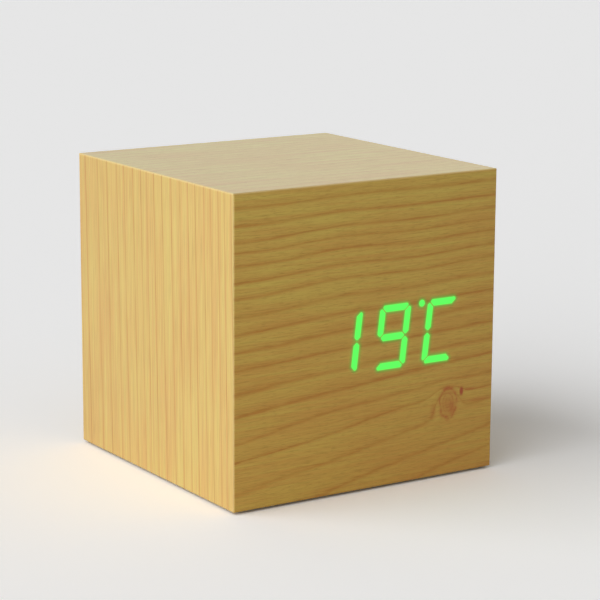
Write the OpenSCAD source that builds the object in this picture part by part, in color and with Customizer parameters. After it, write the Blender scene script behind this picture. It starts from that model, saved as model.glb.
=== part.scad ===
// Wooden cube alarm clock: a veneered MDF case whose four-digit LED display shines through
// the front veneer. Millimetres, +Z up, origin under the middle of the base, where it rests.
// The display looks along -Y. The buttons and the power socket are on the back, +Y, and the
// batteries are under a hinged door in the base.

/* [Case] */
// Width of the case, left to right
case_w = 68; // [66:0.5:90]
// Depth of the case, front to back
case_d = 68; // [66:0.5:90]
// Height of the case without its feet
case_h = 68; // [66:0.5:90]
// Thickness of the MDF boards
board_t = 4; // [3:0.5:5]
// Thickness of the wood veneer
veneer_t = 0.5; // [0.4:0.1:1]
// Radius of the sanded outer edges
edge_r = 0.4; // [0.2:0.1:1.2]
// Gap round the back board
cover_gap = 0.2; // [0.1:0.05:0.4]
// Side of the square corner blocks that the back board is screwed to
block_s = 8; // [7:0.5:9]
// Length of the corner blocks
block_l = 9; // [8:0.5:12]
// Diameter of the feet
foot_d = 8; // [6:0.5:9]
// Thickness of the feet
foot_t = 0.5; // [0.4:0.1:2]
// Distance from the outer edges of the base to the centres of the feet
foot_inset = 6; // [5:0.5:6.5]

/* [Display] */
// Depth of the four-digit LED module
module_t = 8; // [7.5:0.1:9]
// Height of the module above and below its digits
module_edge = 2.4; // [2:0.1:3]
// Distance of the display below the middle of the front
display_drop = 0.7; // [0:0.1:2]
// Height of a digit
digit_h = 14.2; // [12:0.1:16]
// Width of a digit between the centres of its upright strokes
digit_w = 6.7; // [6:0.1:7]
// Distance from one digit to the next
digit_pitch = 12.7; // [12:0.1:14]
// Slant of the digits, in degrees
digit_slant = 7; // [0:0.5:10]
// Width of a segment
segment_w = 1.5; // [1.2:0.05:1.6]
// Gap between neighbouring segments
segment_gap = 0.34; // [0.2:0.02:0.4]
// Diameter of the colon and degree dots
dot_d = 1.5; // [1:0.1:1.6]

/* [Circuit boards] */
// Thickness of both circuit boards
pcb_t = 1.6; // [1:0.1:2]
// Gap between the main board and the side boards
main_gap = 1.5; // [1:0.1:3]
// Distance from the edges of the main board to its screws
main_screw_inset = 3; // [2.5:0.1:4]

/* [Controls] */
// Height of the middle of the control well above the table
control_z = 28; // [27:0.5:30]
// Height of the control well
well_h = 13; // [12:0.5:14]
// Depth of the control well
well_depth = 2.4; // [2:0.1:3]
// Wall of the control plate
plate_wall = 1.4; // [1:0.1:1.6]
// Width of the flange behind the back board
flange_lip = 3.5; // [3.4:0.1:4]
// Gap between the flange and the side boards
flange_gap = 1.6; // [0.5:0.1:3]
// Distance from the back of the case to the control board
control_depth = 11; // [10.5:0.1:13]
// Diameter of a button
button_d = 6; // [5:0.1:7]
// Height of a button above the floor of the well
button_rise = 1.6; // [1:0.1:2]
// Distance from the ends of the well to the middle of the first and last control
well_end = 6.5; // [5.5:0.1:8]
// Travel of a button
button_travel = 0.5; // [0.2:0.1:0.8]
// Diameter of the power socket's bore
socket_d = 3.7; // [3.5:0.1:4]
// Diameter of the power socket's nose
socket_nose_d = 6.4; // [6:0.1:7]

/* [Batteries] */
// Diameter of a battery
cell_d = 10.5; // [10:0.1:11]
// Length of a battery with its nub
cell_l = 44.5; // [43:0.1:48]
// Gap beside each battery
cell_gap = 0.6; // [0.4:0.1:0.7]
// Length of a contact spring with its battery in place
spring_l = 4.2; // [4.1:0.1:6]
// Wall of the battery box
box_wall = 1.2; // [1:0.1:2]
// Distance from the front board to the battery box
box_front_gap = 6.5; // [6:0.1:10]
// Thickness of the battery door
door_t = 1.8; // [1.5:0.1:2.2]
// Gap round the battery door
door_fit = 0.3; // [0.2:0.05:0.4]

/* [Hidden] */
$fn = 48;
// How far a cutting tool reaches past the face that it cuts
eps = 0.1;

// Levels and inner sizes of the case
shell = veneer_t + board_t;
base_z = foot_t;
top_z = foot_t + case_h;
mid_z = foot_t + case_h / 2;
in_w = case_w - 2 * shell;
in_h = case_h - 2 * shell;
// The back ends of the top, bottom and side boards, under the edge band
rear_y = case_d / 2 - veneer_t;

// Wood screws: every pilot hole leaves this much of the board under it
pilot_floor = 1.2;
screw_d = 2;
screw_fit = 0.05;
screw_end_gap = 0.2;
pan_head_d = 3.4;
pan_head_h = 1.3;
pilot_l = board_t - pilot_floor;
bite = pilot_l - screw_end_gap;
// Countersunk screws that hold the back board
back_screw_d = 2.4;
back_head_d = 4.8;
back_bite = 7;
cross_w = 0.5;

// The display: the module's face is against the back of the front veneer
display_z = mid_z - display_drop;
module_end = 0.5;
module_w = 4 * digit_pitch - module_end;
module_h = digit_h + 2 * module_edge;
module_fit = 0.15;
module_rim = 1;
module_recess = 1.8;
display_pcb_t = 1.2;
cavity_l = module_t - module_recess;
fill_fit = 0.02;
chip_l = 1;
chip_w = 0.5;
chip_h = 0.6;
fill_l = cavity_l - chip_h - eps;
half_w = digit_w / 2;
half_h = (digit_h - segment_w) / 2;
// Cut-off corner of a digit, measured along its edges
corner_cut = 1.1;
colon_y = 2.6;
degree_beside = 1.6;
degree_above = 0.175;
degree_x = -half_w - degree_beside;
degree_y = half_h + degree_above;
digit_x = [for (k = [0:3]) (k - 1.5) * digit_pitch];
// The segments that are lit, digit by digit: blank, 1, 9 and C, with the degree dot
LIT = ["", "bc", "abcdfg", "adef"];
SEGMENTS = "abcdefg";

// Pins of the module: two rows of six
pin_pitch = 2.54;
pin_edge = 1.88;
pin_rows = module_h - 2 * pin_edge;
pin_s = 0.5;
pin_hole_d = 0.8;
pin_tail = 1;
pins = [for (i = [-2.5:2.5], s = [-1, 1]) [i * pin_pitch, s * pin_rows / 2]];

// The main board is screwed to the back of the front board through spacers
spacer_d = 4.4;
spacer_gap = 0.3;
main_w = in_w - 2 * main_gap;
main_screw_x = main_w / 2 - main_screw_inset;
main_screw_y = module_h / 2 + spacer_gap + spacer_d / 2;
main_h = 2 * (main_screw_y + main_screw_inset);
main_screws = [for (x = [-1, 1], y = [-1, 1]) [x * main_screw_x, y * main_screw_y]];
spacer_l = module_t - board_t;
main_rear_y = -case_d / 2 + veneer_t + module_t + pcb_t;

// Parts on the rear of the main board, placed from its middle as seen from behind
leg_pitch = 1.27;
leg_w = 0.45;
leg_l = 0.9;
leg_h = 0.7;
leg_bury = 0.1;
chip_stand = 0.1;
clock_chip_at = [15, 2];
clock_chip_size = [10, 3.9, 1.5];
clock_chip_legs = 16;
driver_at = [-15.5, 2];
driver_size = [12.8, 7.5, 2.3];
driver_legs = 20;
crystal_at = [12, -4];
crystal_d = 2;
crystal_l = 6;
crystal_gap = 0.05;
capacitor_at = [14, 9.5];
capacitor_d = 5;
capacitor_l = 7;
resistors_at = [-21, -6.5];
resistor_pitch = 3;
resistor_size = [2, 1.25, 0.5];

// Controls, as seen from behind, from left to right: set, up, down and the power socket
well_w = in_w - 2 * (flange_gap + flange_lip + plate_wall);
plate_w = well_w + 2 * plate_wall;
plate_h = well_h + 2 * plate_wall;
well_r = 3;
plate_fit = 0.2;
flange_w = plate_w + 2 * flange_lip;
flange_h = plate_h + 2 * flange_lip;
floor_under = well_depth + plate_wall;
flange_under = shell + plate_wall;
control_pitch = (well_w - 2 * well_end) / 3;
control_x = [for (k = [0:3]) (k - 1.5) * control_pitch];
plate_screw_x = (plate_w + flange_lip) / 2;
post_d = 4.4;
post_bite = 2.8;
post_inset = 3.5;
post_edge_gap = 0.2;
control_block_gap = 0.5;
control_w = in_w - 2 * (block_s + control_block_gap);
post_x = control_w / 2 - post_inset;
post_y = (flange_h - post_d) / 2 - post_edge_gap;
posts = [for (x = [-1, 1], y = [-1, 1]) [x * post_x, y * post_y]];

// Buttons on tactile switches
button_fit = 0.15;
button_flange_lip = 1;
button_flange_d = button_d + 2 * button_flange_lip;
button_flange_t = 0.8;
button_stop_gap = 0.05;
button_stem_d = 4;
button_edge = 0.4;
icon_r = 1.5;
icon_depth = 0.25;
switch_s = 6;
switch_h = 3.5;
plunger_d = 3.4;
plunger_rise = 1.5;
plunger_sunk = 1.5;
plunger_fit = 0.05;
plunger_room = 0.3;

// Power socket for a round plug
socket_s = 8;
socket_pin_d = 1.3;
socket_bore_l = 7;
socket_pin_gap = 1;
socket_under_gap = 0.4;
socket_fit = 0.15;

// Sounder, microphone and temperature bead behind small holes in the back board
buzzer_x = -8;
buzzer_d = 12;
buzzer_gap = 0.5;
buzzer_port_d = 2;
buzzer_port_l = 1;
buzzer_above_flange = 1.1;
sound_y = flange_h / 2 + buzzer_above_flange + buzzer_d / 2;
mic_x = 8;
mic_d = 6;
mic_h = 2.2;
mic_rim = 0.8;
mic_dish = 0.3;
bead_x = 16;
bead_d = 2.4;
bead_rise = 3;
bead_lead_d = 0.5;
bead_lead_gap = 1.2;
sound_hole_d = 1.6;
sound_ring_r = 3.2;
control_edge = 1;
control_below = flange_h / 2;
control_above = sound_y + buzzer_d / 2 + control_edge;
sound_holes = concat([[buzzer_x, sound_y], [mic_x, sound_y]],
    [for (k = [0:5]) [buzzer_x + sound_ring_r * cos(60 * k), sound_y + sound_ring_r * sin(60 * k)]]);

// Ribbon between the two boards: it dips in a wave that keeps some slack
ribbon_w = 7.6;
ribbon_t = 1;
ribbon_bend = 50;
ribbon_end = 3;
connector_w = 10;
connector_t = 5;
connector_h = 4;
ribbon_y0 = main_rear_y + connector_h;
ribbon_y1 = case_d / 2 - control_depth - pcb_t - connector_h;
ribbon_r = (ribbon_y1 - ribbon_y0 - 2 * ribbon_end) / (4 * sin(ribbon_bend));

// Battery box, measured from the middle of its underside
contact_t = 0.4;
cell_pitch = cell_d + cell_gap;
box_in_l = cell_l + spring_l + 2 * contact_t;
box_in_w = 2 * cell_pitch + cell_d + 2 * cell_gap;
box_l = box_in_l + 2 * box_wall;
box_w = box_in_w + 2 * box_wall;
box_y = -case_d / 2 + shell + box_front_gap + box_w / 2;
box_fit = 0.2;
door_sink = 0.2;
cell_under = 0.4;
cell_z = door_sink + door_t + cell_under + cell_d / 2;
box_h = cell_z + cell_d / 2 + cell_gap / 2 + box_wall;
rib_w = 1;
rib_h = 2.4;
ear_l = 5.5;
ear_w = 10;
ear_t = 1.5;
ear_x = 12;
ears = [for (x = [-1, 1], y = [-1, 1]) [x * ear_x, y * (box_w + ear_l) / 2]];
nub_d = 3.8;
nub_h = 1;
cell_edge = 0.4;
// 1 where a battery's nub points to +X, -1 where it points to -X
CELL_WAYS = [-1, 1, -1];

// Contacts: plates on the end walls, two of them with a tab for a lead
contact_s = 9;
tab_w = 3;
tab_rise = 2;
tab_fit = 0.2;

// Battery door: it turns on two moulded pins at its rear edge
knuckle_r = 1.1;
hinge_pin_r = 0.8;
hinge_fit = 0.05;
hinge_y = box_in_w / 2 - door_fit - knuckle_r;
hinge_z = door_sink + knuckle_r;
hinge_pin_gap = 0.3;
hinge_pin_l = box_wall - hinge_pin_gap;
nail_r = 5;
nail_depth = 1;
groove_w = 0.8;
groove_from_nail = 2;
groove_depth = 0.3;
groove_l = 14;
detent_d = 1.6;
detent_h = 0.15;

// Contact springs
wire_d = 0.5;
coil_d = 5.5;
coil_turns = 3;
coil_rings = 8;
coil_sides = 6;
spring_gap = 0.05;

// Battery leads: up from a tab, over in a bend and straight on to the main board
lead_d = 1.2;
lead_bend = 2.5;
lead_drop = 6;
lead_z = display_z - lead_drop;

// Frames of reference: z = 0 on a face and +z out of the case, or out of a board
module on_front() translate([0, -case_d / 2, mid_z]) rotate([90, 0, 0]) children();
module on_back() translate([0, case_d / 2, mid_z]) rotate([90, 0, 180]) children();
module on_top() translate([0, 0, top_z]) children();
module on_bottom() translate([0, 0, base_z]) mirror([0, 0, 1]) children();
module on_left() translate([-case_w / 2, 0, mid_z]) rotate([0, -90, 0]) children();
module on_right() translate([case_w / 2, 0, mid_z]) rotate([0, 90, 0]) children();
module on_display() translate([0, -case_d / 2 + veneer_t, display_z]) rotate([90, 0, 0]) children();
module on_main_rear() on_display() translate([0, 0, -module_t - pcb_t]) rotate([0, 180, 0]) children();
module on_control() on_back() translate([0, control_z - mid_z, 0]) children();
module on_control_pcb() on_control() translate([0, 0, -control_depth]) children();
module in_box() translate([0, box_y, base_z]) children();

// Shared shapes
module round_rect(w, h, r) {
    square([w - 2 * r, h], center = true);
    square([w, h - 2 * r], center = true);
    for (x = [-1, 1], y = [-1, 1]) translate([x * (w / 2 - r), y * (h / 2 - r)]) circle(r = r);
}

module round_block(w, h, r, z0, z1) translate([0, 0, z0]) linear_extrude(z1 - z0) round_rect(w, h, r);

module block(w, h, z0, z1) translate([0, 0, z0]) linear_extrude(z1 - z0) square([w, h], center = true);

module rod(d, z0, z1) translate([0, 0, z0]) cylinder(d = d, h = z1 - z0);

module along_x() rotate([0, 90, 0]) children();

// Cross recess in a screw head, from z = 0 down
module cross(d, depth) {
    for (a = [0, 90]) rotate([0, 0, a]) translate([0, 0, -depth / 2])
        cube([d, cross_w, depth + eps], center = true);
}

// Pan-head screw: the head stands on z = 0 and the shank goes down
module pan_screw(l) difference() {
    union() {
        rod(screw_d, -l, eps);
        rod(pan_head_d, 0, pan_head_h);
    }
    translate([0, 0, pan_head_h]) cross(pan_head_d * 0.6, pan_head_h * 0.6);
}

// Countersunk screw: the head is flush with z = 0 and the shank goes down
module flat_screw(l) difference() {
    union() {
        rod(back_screw_d, -l, -eps);
        flat_head(0);
    }
    cross(back_head_d * 0.6, back_head_d / 5);
}

module flat_head(grow) {
    cone = (back_head_d - back_screw_d) / 2;
    translate([0, 0, -cone - grow])
        cylinder(d1 = back_screw_d, d2 = back_head_d + 2 * grow, h = cone + grow);
}

// Case: every board and veneer is mitred at 45 degrees where it meets its neighbours.
// Edge outline of a panel that reaches from depth d0 to depth d1 under its face
function mitred(l, d0, d1) =
    [[-l / 2 + d0, -d0], [l / 2 - d0, -d0], [l / 2 - d1, -d1], [-l / 2 + d1, -d1]];

// The same from front to back, where the rear end is cut square under the edge band
function square_rear(d0, d1) =
    [[-case_d / 2 + d0, -d0], [rear_y, -d0], [rear_y, -d1], [-case_d / 2 + d1, -d1]];

module panel(across, along, outline_x, outline_y) intersection() {
    rotate([90, 0, 0]) linear_extrude(along, center = true) polygon(outline_x);
    rotate([90, 0, 90]) linear_extrude(across, center = true) polygon(outline_y);
}

module face_panel(w, h, d0, d1) panel(w, h, mitred(w, d0, d1), mitred(h, d0, d1));

module side_board(across)
    panel(across, case_d, mitred(across, veneer_t, shell), square_rear(veneer_t, shell));

// The outside of the case with its edges rounded
module rounded_case() intersection() {
    translate([0, 0, base_z]) linear_extrude(case_h) round_rect(case_w, case_d, edge_r);
    translate([0, 0, mid_z]) rotate([90, 0, 0]) linear_extrude(case_d, center = true)
        round_rect(case_w, case_h, edge_r);
    translate([0, 0, mid_z]) rotate([90, 0, 90]) linear_extrude(case_w, center = true)
        round_rect(case_d, case_h, edge_r);
}

module front_board() color("tan") difference() {
    on_front() face_panel(case_w, case_h, veneer_t, shell);
    on_display() block(module_w + 2 * module_fit, module_h + 2 * module_fit, -board_t - eps, eps);
    on_display() for (p = main_screws) translate(p)
        rod(screw_d + 2 * screw_fit, -board_t - eps, -pilot_floor);
}

module top_board() color("tan") on_top() side_board(case_w);

module left_board() color("tan") on_left() side_board(case_h);

module right_board() color("tan") on_right() side_board(case_h);

// Opening for the battery box, through the base
module box_opening() in_box() block(box_l + 2 * box_fit, box_w + 2 * box_fit, -eps, shell + eps);

module bottom_board() color("tan") difference() {
    on_bottom() side_board(case_w);
    box_opening();
    in_box() for (p = ears) translate(p) rod(screw_d + 2 * screw_fit, veneer_t + pilot_floor, shell + eps);
}

// The back board drops between the other boards and is screwed to the corner blocks
module back_cover(z0, z1) block(in_w - 2 * cover_gap, in_h - 2 * cover_gap, z0, z1);

// Places of the screws that hold the back board, seen from behind
back_screws_at = [for (x = [-1, 1], y = [-1, 1]) [x * (in_w - block_s) / 2, y * (in_h - block_s) / 2]];

// Holes that go through the back board and its veneer
module back_openings() {
    on_control() round_block(plate_w + 2 * plate_fit, plate_h + 2 * plate_fit,
        well_r + plate_wall + plate_fit, -shell - eps, eps);
    on_control() for (p = sound_holes) translate(p) rod(sound_hole_d, -shell - eps, eps);
    on_back() for (p = back_screws_at) translate(p) {
        rod(back_screw_d + 4 * screw_fit, -shell - eps, eps);
        flat_head(screw_fit);
    }
}

module back_board() color("tan") difference() {
    on_back() back_cover(-shell, -veneer_t);
    back_openings();
    on_control() for (x = [-1, 1]) translate([x * plate_screw_x, 0, 0])
        rod(screw_d + 2 * screw_fit, -shell - eps, -veneer_t - pilot_floor);
}

module front_veneer() color("peru") intersection() {
    rounded_case();
    on_front() face_panel(case_w, case_h, 0, veneer_t);
}

module top_veneer() color("burlywood") intersection() {
    rounded_case();
    on_top() face_panel(case_w, case_d, 0, veneer_t);
}

module bottom_veneer() color("burlywood") difference() {
    intersection() {
        rounded_case();
        on_bottom() face_panel(case_w, case_d, 0, veneer_t);
    }
    box_opening();
}

module left_veneer() color("burlywood") intersection() {
    rounded_case();
    on_left() face_panel(case_h, case_d, 0, veneer_t);
}

module right_veneer() color("burlywood") intersection() {
    rounded_case();
    on_right() face_panel(case_h, case_d, 0, veneer_t);
}

module back_veneer() color("burlywood") difference() {
    on_back() back_cover(-veneer_t, 0);
    back_openings();
}

// Veneer on the rear ends of the four boards round the back board
module rear_edge_band() color("burlywood") difference() {
    intersection() {
        rounded_case();
        on_back() face_panel(case_w, case_h, 0, veneer_t);
    }
    on_back() block(in_w, in_h, -veneer_t - eps, eps);
}

module corner_blocks() color("wheat") on_back() for (p = back_screws_at) translate(p) difference() {
    block(block_s, block_s, -shell - block_l, -shell);
    rod(back_screw_d + 2 * screw_fit, -shell - back_bite - screw_end_gap, -shell + eps);
}

module back_screws() color("dimgray") on_back() for (p = back_screws_at) translate(p)
    flat_screw(shell + back_bite);

module feet() color("dimgray") for (x = [-1, 1], y = [-1, 1])
    translate([x * (case_w / 2 - foot_inset), y * (case_d / 2 - foot_inset), 0]) rod(foot_d, 0, foot_t);

// Display segments: outlines of one upright digit, with s half a stroke and g half a gap.
// Segments meet in mitres at the corners of the digit and in points at its middle.
function top_segment(s, g) = let (w = half_w, h = half_h, c = corner_cut) [
    [-w - s + (c + g) / 2, h + s - (c - g) / 2], [-w - s + c, h + s], [w + s - c, h + s],
    [w + s - (c + g) / 2, h + s - (c - g) / 2], [w - s - g, h - s], [-w + s + g, h - s]];

function side_segment(s, g) = let (w = half_w, h = half_h, c = corner_cut) [
    [-w - s, s + g], [-w - s, h + s - c], [-w - s + (c - g) / 2, h + s - (c + g) / 2],
    [-w + s, h - s - g], [-w + s, s + g], [-w, g]];

function middle_segment(s, g) = let (w = half_w) [
    [-w + g, 0], [-w + s + g, s], [w - s - g, s], [w - g, 0], [w - s - g, -s], [-w + s + g, -s]];

function flipped(points, x, y) = [for (p = points) [p.x * x, p.y * y]];

function slanted(points) = [for (p = points) [p.x + p.y * tan(digit_slant), p.y]];

function segment(name, s, g) =
    name == "a" ? top_segment(s, g) :
    name == "b" ? flipped(side_segment(s, g), -1, 1) :
    name == "c" ? flipped(side_segment(s, g), -1, -1) :
    name == "d" ? flipped(top_segment(s, g), 1, -1) :
    name == "e" ? flipped(side_segment(s, g), 1, -1) :
    name == "f" ? side_segment(s, g) : middle_segment(s, g);

// Middle of a segment, and whether it stands upright
function segment_centre(name) =
    name == "a" ? [0, half_h] : name == "d" ? [0, -half_h] : name == "g" ? [0, 0] :
    [(name == "b" || name == "c" ? 1 : -1) * half_w, (name == "b" || name == "f" ? 0.5 : -0.5) * half_h];

function is_upright(name) = name != "a" && name != "d" && name != "g";

function is_lit(digit, name) = len([for (k = LIT[digit]) if (k == name) k]) > 0;

// Outline of one segment of one digit, smaller all round by inset
module segment_2d(digit, name, inset) translate([digit_x[digit], 0])
    polygon(slanted(segment(name, segment_w / 2 - inset, segment_gap / 2 + inset)));

// Places of the dots: two of the colon, then the degree dot
dots = concat(slanted([[0, colon_y], [0, -colon_y]]), [[digit_x[3] + degree_x, degree_y]]);

module display_housing() color("whitesmoke") on_display() difference() {
    block(module_w, module_h, -module_t, 0);
    block(module_w - 2 * module_rim, module_h - 2 * module_rim, -module_t - eps, -cavity_l);
    for (digit = [0:3], name = SEGMENTS) translate([0, 0, -cavity_l - eps])
        linear_extrude(cavity_l + 2 * eps) segment_2d(digit, name, 0);
    for (p = dots) translate(p) rod(dot_d, -cavity_l - eps, eps);
}

module lit_segments() color("lime") on_display() {
    for (digit = [0:3], name = SEGMENTS) if (is_lit(digit, name))
        translate([0, 0, -fill_l]) linear_extrude(fill_l) segment_2d(digit, name, fill_fit);
    translate(dots[2]) rod(dot_d - 2 * fill_fit, -fill_l, 0);
}

module dark_segments() color("gainsboro") on_display() {
    for (digit = [0:3], name = SEGMENTS) if (!is_lit(digit, name))
        translate([0, 0, -fill_l]) linear_extrude(fill_l) segment_2d(digit, name, fill_fit);
    for (k = [0, 1]) translate(dots[k]) rod(dot_d - 2 * fill_fit, -fill_l, 0);
}

module led_chip(upright)
    block(upright ? chip_w : chip_l, upright ? chip_l : chip_w, -cavity_l, chip_h - cavity_l);

module led_chips() color("gold") on_display() {
    for (digit = [0:3], name = SEGMENTS)
        translate([digit_x[digit], 0]) translate(slanted([segment_centre(name)])[0])
            led_chip(is_upright(name));
    for (p = dots) translate(p) block(chip_w, chip_w, -cavity_l, chip_h - cavity_l);
}

module display_pcb() color("seagreen") on_display() difference() {
    block(module_w - 2 * module_rim - 2 * module_fit, module_h - 2 * module_rim - 2 * module_fit,
        -cavity_l - display_pcb_t, -cavity_l);
    for (p = pins) translate(p) rod(pin_hole_d, -cavity_l - display_pcb_t - eps, -cavity_l + eps);
}

module display_pins() color("silver") on_display() for (p = pins) translate(p)
    block(pin_s, pin_s, -module_t - pcb_t - pin_tail, -cavity_l);

// Main board
module main_pcb() color("seagreen") on_display() difference() {
    block(main_w, main_h, -module_t - pcb_t, -module_t);
    for (p = pins) translate(p) rod(pin_hole_d, -module_t - pcb_t - eps, -module_t + eps);
    for (p = main_screws) translate(p)
        rod(screw_d + 4 * screw_fit, -module_t - pcb_t - eps, -module_t + eps);
}

module main_pcb_spacers() color("gainsboro") on_display() for (p = main_screws) translate(p) difference() {
    rod(spacer_d, -module_t, -board_t);
    rod(screw_d + 4 * screw_fit, -module_t - eps, -board_t + eps);
}

module main_pcb_screws() color("silver") on_main_rear() for (p = main_screws) translate(p)
    pan_screw(pcb_t + spacer_l + bite);

// Chip with a row of legs along each long side
module chip(size, legs) {
    translate([0, 0, size.z / 2 + chip_stand]) cube(size, center = true);
    for (k = [0:legs / 2 - 1], s = [-1, 1])
        translate([(k - (legs / 2 - 1) / 2) * leg_pitch, s * ((size.y + leg_l) / 2 - leg_bury), leg_h / 2])
            cube([leg_w, leg_l, leg_h], center = true);
}

module clock_chip() color("dimgray") on_main_rear() translate(clock_chip_at)
    chip(clock_chip_size, clock_chip_legs);

module led_driver_chip() color("dimgray") on_main_rear() translate(driver_at)
    chip(driver_size, driver_legs);

module crystal() color("silver") on_main_rear() translate(crystal_at)
    translate([0, 0, crystal_d / 2 + crystal_gap]) along_x() rod(crystal_d, 0, crystal_l);

module capacitor() color("midnightblue") on_main_rear() translate(capacitor_at)
    rod(capacitor_d, 0, capacitor_l);

module resistors() color("black") on_main_rear() for (k = [0:4])
    translate(resistors_at + [k * resistor_pitch, 0])
        block(resistor_size.x, resistor_size.y, 0, resistor_size.z);

// Ribbon: its middle line is three arcs that dip by twice the bend and come back level
function ribbon_arc(y, z, a0, a1, way) = [for (k = [0:8]) let (a = a0 + (a1 - a0) * k / 8)
    [y + way * ribbon_r * (sin(a) - sin(a0)), z - way * ribbon_r * (cos(a) - cos(a0)), a]];

function last(list) = list[len(list) - 1];

ribbon_arc_1 = ribbon_arc(ribbon_y0 + ribbon_end, 0, 0, -ribbon_bend, -1);
ribbon_arc_2 = ribbon_arc(last(ribbon_arc_1)[0], last(ribbon_arc_1)[1], -ribbon_bend, ribbon_bend, 1);
ribbon_arc_3 = ribbon_arc(last(ribbon_arc_2)[0], last(ribbon_arc_2)[1], ribbon_bend, 0, -1);
ribbon_line = concat([[ribbon_y0, 0, 0]], ribbon_arc_1, ribbon_arc_2, ribbon_arc_3, [[ribbon_y1, 0, 0]]);

function beside(line, d) = [for (p = line) [p[0] - d * sin(p[2]), p[1] + d * cos(p[2])]];

function reversed(list) = [for (k = [len(list) - 1:-1:0]) list[k]];

module ribbon_cable() color("slategray") translate([0, 0, display_z]) rotate([90, 0, 90])
    linear_extrude(ribbon_w, center = true)
        polygon(concat(beside(ribbon_line, ribbon_t / 2), reversed(beside(ribbon_line, -ribbon_t / 2))));

module ribbon_connectors() color("ivory") translate([0, 0, display_z]) for (y = [main_rear_y, ribbon_y1])
    translate([0, y + connector_h / 2, 0]) cube([connector_w, connector_h, connector_t], center = true);

// Control plate: a sunk well in the back with a floor that the buttons come through
module control_plate() color("black") on_control() difference() {
    union() {
        round_block(plate_w, plate_h, well_r + plate_wall, -flange_under, 0);
        block(flange_w, flange_h, -flange_under, -shell);
        for (p = posts) translate(p) rod(post_d, -control_depth, -shell - eps);
    }
    round_block(well_w, well_h, well_r, -well_depth, eps);
    round_block(well_w, well_h, well_r, -flange_under - eps, -floor_under);
    for (k = [0:2]) translate([control_x[k], 0])
        rod(button_d + 2 * button_fit, -floor_under - eps, eps - well_depth);
    translate([control_x[3], 0]) rod(socket_nose_d + 2 * socket_fit, -floor_under - eps, eps - well_depth);
    for (x = [-1, 1]) translate([x * plate_screw_x, 0])
        rod(screw_d + 4 * screw_fit, -flange_under - eps, eps - shell);
    for (p = posts) translate(p)
        rod(screw_d + 2 * screw_fit, -control_depth - eps, post_bite + screw_end_gap - control_depth);
}

module control_plate_screws() color("silver") on_control() for (x = [-1, 1])
    translate([x * plate_screw_x, 0, -flange_under]) mirror([0, 0, 1]) pan_screw(plate_wall + bite);

module control_pcb() color("seagreen") on_control_pcb() difference() {
    translate([0, (control_above - control_below) / 2])
        block(control_w, control_above + control_below, -pcb_t, 0);
    for (p = posts) translate(p) rod(screw_d + 4 * screw_fit, -pcb_t - eps, eps);
}

module control_pcb_screws() color("silver") on_control_pcb() for (p = posts) translate([p.x, p.y, -pcb_t])
    mirror([0, 0, 1]) pan_screw(pcb_t + post_bite);

// Buttons: k counts from the left as seen from behind
plunger_top = switch_h + plunger_rise - control_depth;

module button(k) color("dimgray") on_control() translate([control_x[k], 0]) {
    top = button_rise - well_depth;
    stop = -floor_under - button_stop_gap;
    difference() {
        union() {
            rod(button_d, stop - eps, top - button_edge);
            translate([0, 0, top - button_edge])
                cylinder(d1 = button_d, d2 = button_d - 2 * button_edge, h = button_edge);
            rod(button_flange_d, stop - button_flange_t, stop);
            rod(button_stem_d, plunger_top, stop - eps);
        }
        translate([0, 0, top - icon_depth]) linear_extrude(icon_depth + eps) icon(k);
    }
}

// Marks on the buttons: a dot for set, and arrows for up and down
module icon(k) {
    if (k == 0) circle(r = icon_r * 0.6);
    if (k > 0) rotate(k == 1 ? 90 : -90) circle(r = icon_r, $fn = 3);
}

module switch_plunger(k) color("black") on_control() translate([control_x[k], 0])
    rod(plunger_d, plunger_top - plunger_rise - plunger_sunk, plunger_top);

module switch_body(k) color("gray") on_control_pcb() translate([control_x[k], 0]) difference() {
    block(switch_s, switch_s, 0, switch_h);
    rod(plunger_d + 2 * plunger_fit, switch_h - plunger_sunk - button_travel - plunger_room, switch_h + eps);
}

module power_socket() color("black") on_control() translate([control_x[3], 0]) difference() {
    union() {
        block(socket_s, socket_s, -control_depth, -floor_under - socket_under_gap);
        rod(socket_nose_d, -floor_under - socket_under_gap - eps, -well_depth);
    }
    rod(socket_d, -well_depth - socket_bore_l, eps - well_depth);
}

module power_socket_pin() color("silver") on_control() translate([control_x[3], 0])
    rod(socket_pin_d, -well_depth - socket_bore_l, -well_depth - socket_pin_gap);

module buzzer() color("black") on_control_pcb() translate([buzzer_x, sound_y]) difference() {
    rod(buzzer_d, 0, control_depth - shell - buzzer_gap);
    rod(buzzer_port_d, control_depth - shell - buzzer_gap - buzzer_port_l, control_depth);
}

module microphone() color("silver") on_control_pcb() translate([mic_x, sound_y]) difference() {
    rod(mic_d, 0, mic_h);
    rod(mic_d - 2 * mic_rim, mic_h - mic_dish, mic_h + eps);
}

module thermistor() color("black") on_control_pcb() translate([bead_x, sound_y]) {
    for (x = [-1, 1]) translate([x * bead_lead_gap / 2, 0]) rod(bead_lead_d, 0, bead_rise);
    translate([0, 0, bead_rise]) sphere(d = bead_d);
}

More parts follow.
